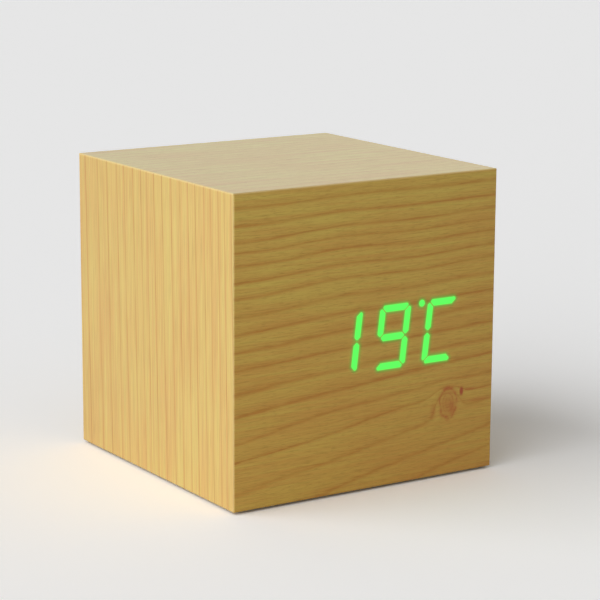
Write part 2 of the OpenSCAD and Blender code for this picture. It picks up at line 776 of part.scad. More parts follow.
// Battery box: open underneath, with ears that rest on the base and ribs between the batteries
module battery_box() color("black") in_box() difference() {
    union() {
        difference() {
            block(box_l, box_w, 0, box_h);
            block(box_in_l, box_in_w, -eps, box_h - box_wall);
        }
        for (y = [-0.5, 0.5]) translate([0, y * cell_pitch])
            block(box_in_l / 2, rib_w, box_h - box_wall - rib_h, box_h - eps);
        for (p = ears) translate([p.x, p.y - sign(p.y) * eps / 2])
            block(ear_w, ear_l + eps, shell, shell + ear_t);
    }
    for (p = ears) translate(p) rod(screw_d + 4 * screw_fit, shell - eps, shell + ear_t + eps);
    for (s = [-1, 1]) translate([s * (box_in_l + box_wall) / 2, hinge_y, hinge_z]) along_x()
        rod(2 * (hinge_pin_r + hinge_fit), -box_wall / 2 - eps, box_wall / 2 + eps);
    for (s = [-1, 1]) translate([s * (box_in_l - contact_t) / 2, s * cell_pitch])
        block(contact_t + 2 * tab_fit, tab_w + 2 * tab_fit, box_h - box_wall - eps, box_h + eps);
}

module battery_box_screws() color("silver") in_box() for (p = ears) translate([p.x, p.y, shell + ear_t])
    pan_screw(ear_t + bite);

// Battery door: a plate with a round knuckle and two hinge pins at the rear
module battery_door() color("black") in_box() {
    door_l = box_in_l - 2 * door_fit;
    door_y0 = -box_in_w / 2 + door_fit;
    difference() {
        union() {
            translate([0, (hinge_y + door_y0) / 2])
                block(door_l, hinge_y - door_y0, door_sink, door_sink + door_t);
            translate([0, hinge_y, hinge_z]) along_x() {
                rod(2 * knuckle_r, -door_l / 2, door_l / 2);
                rod(2 * hinge_pin_r, -box_in_l / 2 - hinge_pin_l, box_in_l / 2 + hinge_pin_l);
            }
            for (x = [-1, 1]) translate([x * door_l / 4, door_y0, door_sink + door_t / 2]) rotate([90, 0, 0])
                rod(detent_d, -eps, detent_h);
        }
        translate([0, door_y0]) rod(2 * nail_r, door_sink - eps, door_sink + nail_depth);
        for (k = [0:3]) translate([0, door_y0 + nail_r + groove_from_nail + k * 2 * groove_w])
            block(groove_l, groove_w, door_sink - eps, door_sink + groove_depth);
    }
}

// Batteries lie along X in a row, each turned the other way round from the last
module cell_frame(k) in_box() translate([0, (k - 1) * cell_pitch, cell_z])
    rotate([0, 0, CELL_WAYS[k] > 0 ? 0 : 180]) translate([box_in_l / 2 - contact_t, 0, 0]) children();

module battery(k) color("goldenrod") cell_frame(k) along_x() {
    rod(nub_d, -nub_h - eps, 0);
    translate([0, 0, -nub_h - cell_edge]) cylinder(d1 = cell_d, d2 = cell_d - 2 * cell_edge, h = cell_edge);
    rod(cell_d, -cell_l + cell_edge, -nub_h - cell_edge);
    translate([0, 0, -cell_l]) cylinder(d1 = cell_d - 2 * cell_edge, d2 = cell_d, h = cell_edge);
}

// Contact plates: each joins two batteries in series or carries a lead's tab
module contact(x, y0, y1, tab) {
    translate([x, (y0 + y1) / 2, cell_z]) cube([contact_t, y1 - y0 + contact_s, contact_s], center = true);
    if (tab) translate([x, y0]) block(contact_t, tab_w, cell_z, box_h + tab_rise);
}

module battery_contacts() color("silver") in_box() {
    x = (box_in_l - contact_t) / 2;
    contact(-x, -cell_pitch, -cell_pitch, true);
    contact(-x, 0, cell_pitch, false);
    contact(x, -cell_pitch, 0, false);
    contact(x, cell_pitch, cell_pitch, true);
}

// Contact spring along +X from x = 0: straight end, turns, straight end
coil_l = spring_l - 2 * spring_gap - 2 * wire_d;
coil_steps = coil_turns * coil_rings;

function coil_side(a) = [0, cos(a), sin(a)];

// Middle line of the wire: points with the angle round the axis and the direction of the wire
function coil_point(k) = let (a = 360 * k / coil_rings)
    [[wire_d + coil_l * k / coil_steps, 0, 0] + (coil_d - wire_d) / 2 * coil_side(a), a,
     [coil_l / coil_steps, 0, 0] + PI * (coil_d - wire_d) / coil_rings * coil_side(a + 90)];

coil_first = coil_point(0);
coil_last = coil_point(coil_steps);
spring_line = concat([[coil_first[0] - [wire_d, 0, 0], 0, [1, 0, 0]]],
    [[coil_first[0], 0, [1, 0, 0] + coil_first[2] / norm(coil_first[2])]],
    [for (k = [1:coil_steps - 1]) coil_point(k)],
    [[coil_last[0], coil_last[1], [1, 0, 0] + coil_last[2] / norm(coil_last[2])]],
    [[coil_last[0] + [wire_d, 0, 0], coil_last[1], [1, 0, 0]]]);

// One ring of the tube, square to the wire
function wire_ring(p) = let (side = coil_side(p[1]), up = cross(p[2], side) / norm(cross(p[2], side)))
    [for (j = [0:coil_sides - 1]) let (a = 360 * j / coil_sides)
        p[0] + wire_d / 2 * (cos(a) * side + sin(a) * up)];

spring_rings = len(spring_line);
spring_points = [for (p = spring_line) each wire_ring(p)];
spring_faces = concat(
    [for (r = [0:spring_rings - 2], j = [0:coil_sides - 1])
        let (a = r * coil_sides + j, b = r * coil_sides + (j + 1) % coil_sides)
            each [[a, b, a + coil_sides], [b, b + coil_sides, a + coil_sides]]],
    [for (j = [1:coil_sides - 2]) [0, j + 1, j]],
    [for (j = [1:coil_sides - 2]) let (e = (spring_rings - 1) * coil_sides) [e, e + j, e + j + 1]]);

// Least gap between turns, measured on points of the middle line at least half a turn apart
spring_self_gap = min([for (i = [0:spring_rings - 1], j = [0:spring_rings - 1]) if (j - i >= coil_rings / 2)
    norm(spring_line[i][0] - spring_line[j][0]) - wire_d]);
echo(least_gap_between_spring_turns_mm = spring_self_gap);

module battery_springs() color("silver") for (k = [0:2]) cell_frame(k)
    translate([-cell_l - spring_l + spring_gap, 0, 0]) polyhedron(spring_points, spring_faces);

// Lead from a tab to the main board: s is the side of the box that its tab is on
module lead(s) {
    x = s * (box_in_l - contact_t) / 2;
    y = s * cell_pitch + box_y;
    translate([x, y, 0]) rod(lead_d, base_z + box_h + tab_rise, lead_z - lead_bend);
    translate([x, y - lead_bend, lead_z - lead_bend]) rotate([90, 0, 90])
        rotate_extrude(angle = 90) translate([lead_bend, 0]) circle(d = lead_d);
    translate([x, y - lead_bend, lead_z]) rotate([90, 0, 0]) rod(lead_d, 0, y - lead_bend - main_rear_y);
}

module red_lead() color("red") lead(-1);

module black_lead() color("black") lead(1);

front_board();
top_board();
bottom_board();
left_board();
right_board();
back_board();
front_veneer();
top_veneer();
bottom_veneer();
left_veneer();
right_veneer();
back_veneer();
rear_edge_band();
corner_blocks();
back_screws();
feet();
display_housing();
lit_segments();
dark_segments();
led_chips();
display_pcb();
display_pins();
main_pcb();
main_pcb_spacers();
main_pcb_screws();
clock_chip();
led_driver_chip();
crystal();
capacitor();
resistors();
ribbon_cable();
ribbon_connectors();
control_plate();
control_plate_screws();
control_pcb();
control_pcb_screws();
button(0);  // set_button
button(1);  // up_button
button(2);  // down_button
switch_plunger(0);  // set_switch_plunger
switch_plunger(1);  // up_switch_plunger
switch_plunger(2);  // down_switch_plunger
switch_body(0);  // set_switch_body
switch_body(1);  // up_switch_body
switch_body(2);  // down_switch_body
power_socket();
power_socket_pin();
buzzer();
microphone();
thermistor();
battery_box();
battery_box_screws();
battery_door();
battery(0);  // battery_1
battery(1);  // battery_2
battery(2);  // battery_3
battery_contacts();
battery_springs();
red_lead();
black_lead();
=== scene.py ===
"""Looks of a cube alarm clock in wood veneer, whose lit digits shine through the front sheet."""
import math
from collections import namedtuple

import bmesh
import bpy
from mathutils import Matrix, Vector
from mathutils.geometry import delaunay_2d_cdt


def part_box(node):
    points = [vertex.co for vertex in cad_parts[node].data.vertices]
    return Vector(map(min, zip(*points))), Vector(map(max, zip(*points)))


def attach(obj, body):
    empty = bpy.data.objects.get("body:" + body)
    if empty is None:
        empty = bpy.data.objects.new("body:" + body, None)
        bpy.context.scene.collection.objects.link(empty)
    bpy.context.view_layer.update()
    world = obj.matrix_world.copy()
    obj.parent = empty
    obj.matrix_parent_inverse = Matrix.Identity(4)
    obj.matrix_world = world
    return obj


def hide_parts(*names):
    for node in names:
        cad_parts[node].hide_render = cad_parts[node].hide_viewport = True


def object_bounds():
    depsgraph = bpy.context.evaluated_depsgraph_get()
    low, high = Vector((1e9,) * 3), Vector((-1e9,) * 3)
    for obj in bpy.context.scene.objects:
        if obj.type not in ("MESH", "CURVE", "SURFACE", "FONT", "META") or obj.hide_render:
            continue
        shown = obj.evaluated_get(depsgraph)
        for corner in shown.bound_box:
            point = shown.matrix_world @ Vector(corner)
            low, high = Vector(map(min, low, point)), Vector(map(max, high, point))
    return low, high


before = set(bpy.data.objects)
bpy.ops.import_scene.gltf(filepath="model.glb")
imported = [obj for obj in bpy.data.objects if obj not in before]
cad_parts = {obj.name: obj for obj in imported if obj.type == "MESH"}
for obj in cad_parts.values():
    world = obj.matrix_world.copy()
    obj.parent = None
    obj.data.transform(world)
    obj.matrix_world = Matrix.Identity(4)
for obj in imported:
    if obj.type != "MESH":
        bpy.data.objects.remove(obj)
cad_low, cad_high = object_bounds()

X, Y, Z = range(3)
MM = 0.001
LOW = cad_low / MM
HIGH = cad_high / MM
MIDDLE = (LOW + HIGH) / 2
CASE_W = HIGH.x - LOW.x


def srgb(red, green, blue):
    """Linear colour of a screen colour given from 0 to 255."""
    parts = [value / 255 for value in (red, green, blue)]
    linear = [p / 12.92 if p <= 0.04045 else ((p + 0.055) / 1.055) ** 2.4 for p in parts]
    return (*linear, 1.0)


def box_of(node):
    """A node's lowest and highest corner in millimetres."""
    return [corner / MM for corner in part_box(node)]


def tinted(colour, tint):
    """A colour with its red, green and blue each multiplied by a share."""
    return (*[min(part * share, 1.0) for part, share in zip(colour, tint)], 1.0)


def shaded(colour, factor):
    """The same colour, lighter or darker."""
    return tinted(colour, (factor, factor, factor))


# Camera, as it stood for the photograph
CAMERA_PLACE = Vector((-267.18, -417.49, 141.59)) * MM
CAMERA_AZIMUTH = math.radians(-33.055)
CAMERA_ELEVATION = math.radians(11.974)
CAMERA_ROLL = math.radians(0.311)
CAMERA_LENS = 133.72
CAMERA_SENSOR = 36.0

# Light, and the floor's colour as it lights the clock and as it is seen
AMBIENT = 0.315
KEY_FROM = Vector((-2.85, 0.15, 0.60))
KEY_SPREAD = math.radians(100)
KEY_STRENGTH = 3.36
FLOOR_SIZE = 8.0
FLOOR_COLOUR = (0.52, 0.47, 0.40, 1.0)
FLOOR_SEEN = (1.2, 1.2, 1.2, 1.0)

# Wood colours: two of early wood, late wood and fibres, then others
WOOD_COLOURS = [srgb(230, 207, 116), srgb(228, 190, 108), srgb(204, 136, 65), srgb(176, 130, 66)]
KNOT_RED = srgb(202, 112, 60)
FLECK_RED = srgb(190, 84, 56)
# Pale of the rounded edges: wear, and a painted highlight where they catch the light
WEAR_AND_HIGHLIGHT = srgb(240, 220, 160)
RAW_SOFTWOOD = srgb(236, 208, 160)

# Wood features: millimetres along the grain and across it, and a third length too great to show.
# Patches, in which a ring's line is weaker, are counted in rings across the grain.
EVEN = 1e3
CLOUD_SIZE = (30.0, 9.0, EVEN)
STREAK_SIZE = (40.0, 0.8, EVEN)
PATCH_SIZE = (18.0, 0.37, EVEN)
WAVER_SIZE = (45.0, 14.0, EVEN)
FIBRE_WIDTH = 0.30
SHORT_FIBRE = 5.0
LONG_FIBRE = 22.0
PORE_WIDTH = 0.13
PORE_SHARE = 0.44
# Patch size of the pale edges, wear with a painted highlight
WEAR_AND_HIGHLIGHT_SIZE = 4.0

# Where each feature's noise starts to show and shows fully
PATCH_RANGE = (0.3, 0.7)
MOTTLE_RANGE = (0.36, 0.64)
FIBRE_RANGE = (0.42, 0.75)
PORE_RANGE = (0.56, 0.72)

# How strong the features are, and the skin of the wood
RING_STRENGTH = (0.68, 1.0)
PATCH_FADE = (0.65, 1.1)
STREAK_SHARE = 0.6
FIBRE_FRAY = 0.30
FIBRE_SHADE = 0.32
PORE_SHADE = 0.46
WOOD_ROUGH = (0.28, 0.42)
WOOD_SHINE = 0.3
WOOD_RELIEF = 0.03
RELIEF_RING = 0.4
# How far in from the edges and how strongly they are paled: wear with a painted highlight
WEAR_AND_HIGHLIGHT_REACH = (0.05, 0.45)
WEAR_AND_HIGHLIGHT_SHARE = (0.2, 0.75)

# How dark the wood is across one growth ring, up to 1 in the line near its end, and that line's place
RING_PROFILE = [
    (0.0, 0.6), (0.07, 0.2), (0.16, 0.03), (0.35, 0.0),
    (0.65, 0.2), (0.82, 0.42), (0.93, 0.9), (1.0, 0.6),
]
THIN_PROFILE = [
    (0.0, 0.45), (0.03, 0.08), (0.30, 0.0), (0.75, 0.10),
    (0.88, 0.30), (0.95, 1.0), (1.0, 0.45),
]
STRIPE_PROFILE = [
    (0.0, 0.25), (0.04, 0.05), (0.3, 0.0), (0.8, 0.04),
    (0.89, 0.2), (0.92, 1.0), (0.96, 1.0), (1.0, 0.25),
]
LINE_PLACE = 0.93

# Dark lines of the front sheet: millimetres below the top edge, at its left and right edges.
# The last ones leave the sheet at its base, so their left ends lie below it.
LINES_LEFT = [
    3.2, 6.8, 10.3, 12.4, 15.1, 18.6, 21.9, 25.9, 29.5,
    33.4, 37.4, 42.7, 47.4, 53, 57.2, 64, 71, 78,
]
LINES_RIGHT = [
    2.6, 5.9, 8.8, 11.2, 13.8, 17.1, 20, 23.7, 27.4,
    30.5, 34.5, 38.2, 41.5, 45.8, 49, 51.8, 57.7, 62.5,
]

# Room for counting lines: millimetres across a sheet, and lines past the last one
LINES_SPAN = 84.0
SPARE_LINES = 2

# Bow of the front sheet's lines between its edges, at the top and at the base
CURL = (0.8, -0.6)

# The front sheet's lower lines are thin: from where to where this grows, and how much
THIN_RANGE = (42.0, 57.0)
THIN_PINCH = 0.75

# Slow wave of the front sheet's upper lines: length, start, height and reach downwards
WAVE_LENGTH = 40.0
WAVE_START = -3.0
WAVE_HEIGHT = 0.38
WAVE_REACH = 40.0

# Wandering of the grain lines, in rings
MEASURED_WAVER = 0.15
SPACED_WAVER = 0.9
FRONT_WAVER = 0.4
BAND_WAVER = 0.6
BLOCK_WAVER = 0.5

# Knot of the front sheet, measured from its left and top edges: the lines rise over it
RISE_AT = (55.5, 51.5)
RISE_RADII = (3.3, 3.2)
RISE_HEIGHT = 7.0
KNOT_AT = (55.7, 51.6)
KNOT_RADII = (2.5, 3.7)
KNOT_BEND_SIZE = (1.6, 1.6, EVEN)
KNOT_BEND = (0.6, 0.9)
KNOT_BREAK_SIZE = (1.1, 1.5, EVEN)
KNOT_BREAK_RANGE = (0.32, 0.6)
KNOT_STRENGTH = (0.28, 0.88)
KNOT_PROFILE = [
    (0.0, 0.1), (0.14, 0.1), (0.2, 0.5), (0.27, 0.1), (0.36, 0.1), (0.42, 0.6),
    (0.49, 0.15), (0.6, 0.2), (0.68, 1.0), (0.76, 0.5), (0.86, 0.1), (1.0, 0.0),
]

# Soft oval spots in and round the knot: place, half width and height, full share, strength and colour
Spot = namedtuple("Spot", "right below wide tall inner strength colour", defaults=(KNOT_RED,))
KNOT_SPOTS = [
    Spot(55.7, 51.6, 2.9, 4.1, 0.3, 0.26),
    Spot(56.9, 53.0, 1.2, 2.4, 0.2, 0.45),
    Spot(55.6, 48.4, 2.2, 0.55, 0.3, 0.7),
    Spot(61.6, 49.2, 2.4, 0.5, 0.2, 0.45),
    Spot(64.0, 51.9, 4.5, 0.5, 0.2, 0.4),
    Spot(51.6, 53.0, 1.2, 2.6, 0.1, 0.3),
    Spot(59.35, 49.4, 0.75, 1.4, 0.35, 0.9, FLECK_RED),
]

# Dark lines of the left sheet: millimetres from its rear edge, along its top edge
SIDE_LINES = [
    3, 8.8, 13.3, 18, 21.4, 25.5, 29, 31.6, 34.8, 38.4,
    42.3, 45.9, 49.4, 52.4, 56, 58.7, 61.9, 64.3, 67, 69.5,
]

# Tints of the sheets, painted light for the colour of the light on each face, and the further tints that
# some drift to across the sheet, painted light and shade
PLAIN = (1.0, 1.0, 1.0)
# Painted light on the front: a warm cast from bounce light, warmer and darker towards the base, darker to
# the right
FRONT_LIGHT_TINT = (1.03, 0.99, 0.76)
FRONT_PAINTED_BOUNCE = (1.0, 0.90, 0.86)
FRONT_PAINTED_SHADE = (0.91, 0.89, 0.88)
# Painted light on the top: a cool cast standing in for sheen, darker towards the back
TOP_LIGHT_TINT = (0.95, 1.03, 1.48)
TOP_PAINTED_SHADE = (0.965, 0.985, 0.935)
# Painted light on the left: a whiter cast from the key light, lighter towards the front edge
LEFT_LIGHT_TINT = (0.94, 0.90, 1.0)
LEFT_PAINTED_LIGHT = (1.07, 1.10, 1.12)

# Wood of a piece. The seed sets its noises apart from those of other pieces. Its tint is painted light,
# the colour of the light on its face.
Wood = namedtuple("Wood", "profile contrast seed fibre tint", defaults=(SHORT_FIBRE, PLAIN))
FRONT_WOOD = Wood(RING_PROFILE, contrast=0.88, seed=5.0, tint=FRONT_LIGHT_TINT)
BAND_WOOD = Wood(THIN_PROFILE, contrast=0.7, seed=71.0)
BLOCK_WOOD = Wood(RING_PROFILE, contrast=0.6, seed=83.0)
BAND_SPACING = 2.3
BLOCK_SPACING = 1.9
RAW_SHARE = 0.35

# The other sheets: grain axis, axis across the grain with its direction, lean of the lines, wood,
# the lines' places or else their first and last spacing, and the tint of painted light and shade that the
# sheet drifts to
Sheet = namedtuple("Sheet", "along across way lean wood lines spacing drift", defaults=(None, None, PLAIN))
SHEETS = {
    "top_veneer": Sheet(
        along=X, across=Y, way=1, lean=0.012, spacing=(3.6, 3.0), drift=TOP_PAINTED_SHADE,
        wood=Wood(THIN_PROFILE, contrast=0.5, seed=11.0, tint=TOP_LIGHT_TINT),
    ),
    "bottom_veneer": Sheet(
        along=X, across=Y, way=1, lean=-0.02, spacing=(3.2, 4.2),
        wood=Wood(RING_PROFILE, contrast=0.8, seed=23.0),
    ),
    "left_veneer": Sheet(
        along=Z, across=Y, way=-1, lean=0.022, lines=SIDE_LINES, drift=LEFT_PAINTED_LIGHT,
        wood=Wood(STRIPE_PROFILE, contrast=0.85, seed=37.0, fibre=LONG_FIBRE, tint=LEFT_LIGHT_TINT),
    ),
    "right_veneer": Sheet(
        along=Z, across=Y, way=1, lean=0.03, spacing=(3.0, 4.4),
        wood=Wood(STRIPE_PROFILE, contrast=0.75, seed=41.0, fibre=LONG_FIBRE),
    ),
    "back_veneer": Sheet(
        along=X, across=Z, way=-1, lean=0.03, spacing=(3.0, 4.4),
        wood=Wood(RING_PROFILE, contrast=0.9, seed=59.0),
    ),
}

# Light through the front sheet, by the distance in millimetres from a lit segment's outline
CORNER_ROUND = 0.3
GLOW_RANGE = (-0.09, 0.17)
HALO_LENGTH = 0.27
HALO_STRENGTH = 0.56
FRINGE_RANGE = (-0.2, 0.95)
FRINGE_STRENGTH = 0.72
GLOW_COLOUR = (0.10, 1.0, 0.10, 1.0)
LIT_BASE = (0.02, 0.10, 0.02, 1.0)

# Mesh of the front sheet: rings of points at these distances from the segments, and a grid elsewhere
CONTOURS = [-0.2, -0.05, 0.06, 0.14, 0.24, 0.6, 1.2]
CONTOUR_STEP = 0.4
CORNER_STEPS = 3
SAME_LEVEL = 0.02
SAME_POINT = 0.01
HULL_TRIANGLES = 0
GRID_STEP = 2.0
WELD = 1e-6

# Buttons, and the marks sunk into them: how far out paint lies, the depth, and play in finding it
BUTTONS = ("set", "up", "down")
MARK_REACH = 1.7
MARK_DEPTH = 0.25
MARK_PLAY = 0.06

# Circuit boards: pitch and width of copper runs and tinned pads, and a noise that gives them areas
RUNS = (1.27, 0.35)
PADS = (2.54, 0.9)
AREA_SIZE = (7.0, 7.0, EVEN)
LEVEL_ABOVE = 0.52
UPRIGHT_BELOW = 0.46
PADS_ABOVE = 0.58

# Small parts on the boards
RESISTOR_PITCH = 3.0
RESISTOR_HALF = 1.0
RESISTOR_BODY = 0.65
SLEEVE_STRIPE = 0.36
SLEEVE_LIP = 0.1
CAN_RADIUS = 2.0
RIBBON_PITCH = 1.27
LEG_TOP = 0.8

# Fine marks, in millimetres along x, y and z
SCRATCH_SIZE = (0.9, 0.08, 0.5)
DRAWN_SIZE = (0.3, 2.0, 2.0)
FOIL_SIZE = (3.0, 0.5, 0.5)
CELL_SIZE = (0.4, 0.4, 0.4)

# Battery jackets: start of the foil from the nub's end, bare steel at the other, and pale bands
JACKET_START = 1.3
JACKET_SOFT = 0.05
BARE_END = 0.3
PALE_BANDS = [(9.0, 12.0), (13.0, 13.6)]
BAND_SOFT = 0.1

# Contact springs, whose pitch at the ends is a share of the average
SPRING_TURNS = 3
SPRING_END_PITCH = 0.5
SPRING_RINGS = 28
SPRING_SIDES = 10
SPRING_WIRE = 0.5
SPRING_GAP = 0.05

# Feet, with a profile in shares of radius and height, from the base's middle to the top's
FOOT_RADIUS = 4.0
FOOT_SIDES = 64
FOOT_PROFILE = [
    (0.0, 0.0), (0.86, 0.0), (0.93, 0.05), (0.98, 0.2),
    (1.0, 0.5), (0.99, 0.85), (0.97, 1.0), (0.0, 1.0),
]


class Nodes:
    """Adds shader nodes to one tree. A value is a number, a colour or another node's output."""

    def __init__(self, owner):
        owner.use_nodes = True
        self.owner = owner
        self.tree = owner.node_tree

    def feed(self, socket, value):
        if isinstance(value, bpy.types.NodeSocket):
            self.tree.links.new(value, socket)
        else:
            socket.default_value = value

    def add(self, kind, values=(), **settings):
        """Adds a node with these values in its inputs."""
        node = self.tree.nodes.new(kind)
        for name, setting in settings.items():
            setattr(node, name, setting)
        for key, value in dict(values).items():
            self.feed(node.inputs[key], value)
        return node

    def math(self, operation, *values):
        return self.add("ShaderNodeMath", enumerate(values), operation=operation).outputs[0]

    def times(self, first, second):
        return self.math("MULTIPLY", first, second)

    def plus(self, first, second):
        return self.math("ADD", first, second)

    def rest(self, value):
        """What is left up to 1."""
        return self.math("SUBTRACT", 1.0, value)

    def place(self):
        """Where a point is on its own piece, as x, y and z in millimetres."""
        spot = self.add("ShaderNodeTexCoord").outputs["Object"]
        values = {0: spot, "Scale": 1 / MM}
        scaled = self.add("ShaderNodeVectorMath", values, operation="SCALE").outputs[0]
        return list(self.add("ShaderNodeSeparateXYZ", {0: scaled}).outputs)

    def stretched(self, values, lengths, seed=0.0):
        """Vector for a texture with features of these lengths along three values, moved by a seed."""
        pairs = zip(values, lengths)
        parts = [self.math("MULTIPLY_ADD", value, 1 / length, seed) for value, length in pairs]
        return self.add("ShaderNodeCombineXYZ", enumerate(parts)).outputs[0]

    def noise(self, vector, detail=2.0, roughness=0.5):
        values = {"Vector": vector, "Scale": 1.0, "Detail": detail, "Roughness": roughness}
        return self.add("ShaderNodeTexNoise", values).outputs[0]

    def specks(self, spot, size, seed=0.0, **settings):
        """Noise of one size in every direction."""
        return self.noise(self.stretched(spot, (size, size, size), seed), **settings)

    def random(self, value):
        node = self.add("ShaderNodeTexWhiteNoise", {"W": value}, noise_dimensions="1D")
        return node.outputs["Value"]

    def step(self, value, low, high):
        """0 up to low, 1 from high on, smooth between."""
        values = {"Value": value, "From Min": low, "From Max": high}
        return self.add("ShaderNodeMapRange", values, interpolation_type="SMOOTHSTEP").outputs[0]

    def between(self, value, low, high):
        """Low where the value is 0, high where it is 1."""
        values = {"Value": value, "To Min": low, "To Max": high}
        return self.add("ShaderNodeMapRange", values).outputs[0]

    def curve(self, value, points, handle="VECTOR"):
        node = self.add("ShaderNodeFloatCurve", {"Value": value})
        spots = node.mapping.curves[0].points
        while len(spots) < len(points):
            spots.new(0.5, 0.5)
        for spot, point in zip(spots, points):
            spot.location = point
            spot.handle_type = handle
        node.mapping.update()
        return node.outputs[0]

    def mix(self, factor, first, second, blend="MIX"):
        """Blends two colours, the node's inputs 6 and 7."""
        values = {0: factor, 6: first, 7: second}
        return self.add("ShaderNodeMix", values, data_type="RGBA", blend_type=blend).outputs[2]

    def oval(self, across, along, middle, radii):
        """Distance from a middle, 1 on an oval of these radii."""
        parts = []
        for value, start, radius in zip((across, along), middle, radii):
            off = self.plus(value, -start)
            parts.append(self.math("POWER", self.times(off, 1 / radius), 2.0))
        return self.math("SQRT", self.plus(*parts))

    def stripes(self, value, pitch, width):
        """1 on stripes of this width, one every pitch."""
        phase = self.math("FRACT", self.times(value, 1 / pitch))
        off = self.math("ABSOLUTE", self.plus(phase, -0.5))
        return self.math("LESS_THAN", off, width / pitch / 2)

    def bump(self, height, depth):
        """Normal of a skin whose height goes from 0 to 1 over this many millimetres."""
        return self.add("ShaderNodeBump", {"Height": height, "Distance": depth * MM}).outputs[0]

    def surface(self, values):
        """Sets the main shader of a material and returns the material."""
        shader = self.tree.nodes["Principled BSDF"]
        for name, value in values.items():
            self.feed(shader.inputs[name], value)
        return self.owner


def new_material(name):
    """Nodes of a new material, and where a point is on its piece."""
    nodes = Nodes(bpy.data.materials.new(name))
    return nodes, nodes.place()


# Wood

def pinched(nodes, share, pinch):
    """A ring's share with both its ends drawn together, which makes the dark line thinner."""
    swing = nodes.math("SINE", nodes.times(share, math.tau))
    return nodes.math("MULTIPLY_ADD", swing, nodes.times(pinch, 1 / math.tau), share)


def ring_tone(nodes, ring, along, wood, pinch):
    """How dark the wood is at a ring count: each ring has its own strength and fades in patches."""
    year = nodes.math("FLOOR", ring)
    across_ring = nodes.curve(pinched(nodes, nodes.math("FRACT", ring), pinch), wood.profile)
    strength = nodes.between(nodes.random(nodes.plus(year, wood.seed)), *RING_STRENGTH)
    patches = nodes.noise(nodes.stretched((along, year, ring), PATCH_SIZE, wood.seed))
    fade = nodes.between(nodes.step(patches, *PATCH_RANGE), *PATCH_FADE)
    return nodes.times(nodes.times(across_ring, strength), fade)


def wood_skin(nodes, along, across, ring, wood, pinch=0.0):
    """Sets roughness and relief of wood and returns its colour."""
    spot = (along, across, across)
    fibre_size = (wood.fibre, FIBRE_WIDTH, EVEN)
    pore_size = (wood.fibre * PORE_SHARE, PORE_WIDTH, EVEN)
    cloud = nodes.noise(nodes.stretched(spot, CLOUD_SIZE, wood.seed))
    streak = nodes.noise(nodes.stretched(spot, STREAK_SIZE, wood.seed + 2.0), detail=3.0)
    fibre = nodes.noise(nodes.stretched(spot, fibre_size, wood.seed), detail=3.0, roughness=0.6)
    pores = nodes.noise(nodes.stretched(spot, pore_size, wood.seed + 5.0))
    fray = FIBRE_FRAY * SHORT_FIBRE / wood.fibre
    frayed = nodes.math("MULTIPLY_ADD", nodes.plus(fibre, -0.5), fray, ring)
    tone = nodes.times(ring_tone(nodes, frayed, along, wood, pinch), wood.contrast)
    mottle = nodes.between(STREAK_SHARE, cloud, streak)
    # Tinted with the painted colour of the light on this face
    straw, honey, brown, dark = [tinted(colour, wood.tint) for colour in WOOD_COLOURS]
    early = nodes.mix(nodes.step(mottle, *MOTTLE_RANGE), straw, honey)
    colour = nodes.mix(tone, early, brown)
    colour = nodes.mix(nodes.times(nodes.step(fibre, *FIBRE_RANGE), FIBRE_SHADE), colour, dark)
    colour = nodes.mix(nodes.times(nodes.step(pores, *PORE_RANGE), PORE_SHADE), colour, dark)
    height = nodes.between(RELIEF_RING, fibre, tone)
    nodes.surface({
        "Roughness": nodes.between(fibre, *WOOD_ROUGH),
        "Specular IOR Level": WOOD_SHINE,
        "Normal": nodes.bump(height, WOOD_RELIEF),
    })
    return colour


def edge_distance(nodes, spot, axes):
    """Distance from the nearest edge of the case, for a sheet that lies along these two axes."""
    reach = []
    for k in axes:
        off = nodes.math("ABSOLUTE", nodes.plus(spot[k], -MIDDLE[k]))
        reach.append(nodes.math("MULTIPLY_ADD", off, -1.0, (HIGH[k] - LOW[k]) / 2))
    return nodes.math("MINIMUM", *reach)


def wear_and_highlight(nodes, colour, spot, axes):
    """Lightens the rounded edges of a sheet, unevenly: wear, with a painted highlight where the edges
    catch the light.
    """
    near = nodes.rest(nodes.step(edge_distance(nodes, spot, axes), *WEAR_AND_HIGHLIGHT_REACH))
    patches = nodes.specks(spot, WEAR_AND_HIGHLIGHT_SIZE, seed=3.0)
    return nodes.mix(nodes.times(near, nodes.between(patches, *WEAR_AND_HIGHLIGHT_SHARE)), colour, WEAR_AND_HIGHLIGHT)


def waver(nodes, along, across, seed, amount):
    """Slow wandering of the grain lines, in rings."""
    slow = nodes.noise(nodes.stretched((along, across, across), WAVER_SIZE, seed + 9.0))
    return nodes.times(nodes.plus(slow, -0.5), amount)


def line_count(nodes, across, places):
    """Number of dark lines passed on the way across a sheet, with a fraction, from their places."""
    full = len(places) + SPARE_LINES
    points = [(place / LINES_SPAN, k / full) for k, place in enumerate([0.0, *places])]
    share = nodes.curve(nodes.times(across, 1 / LINES_SPAN), points, "AUTO")
    return nodes.times(share, full)


def spaced_rings(nodes, across, spacing, width):
    """Ring count of lines that go from the first spacing to the last across a sheet's width."""
    first, last = spacing
    gain = (1 / last - 1 / first) / (2 * width)
    return nodes.times(across, nodes.math("MULTIPLY_ADD", across, gain, 1 / first))


def sheet_rings(nodes, along, across, width, sheet):
    """Ring count of a sheet of the case: measured lines wander less than spaced ones."""
    leaned = nodes.math("MULTIPLY_ADD", along, sheet.lean, across)
    if sheet.lines:
        lines = nodes.plus(line_count(nodes, leaned, sheet.lines), LINE_PLACE - 1.0)
        return nodes.plus(lines, waver(nodes, along, across, sheet.wood.seed, MEASURED_WAVER))
    lines = spaced_rings(nodes, leaned, sheet.spacing, width)
    return nodes.plus(lines, waver(nodes, along, across, sheet.wood.seed, SPACED_WAVER))


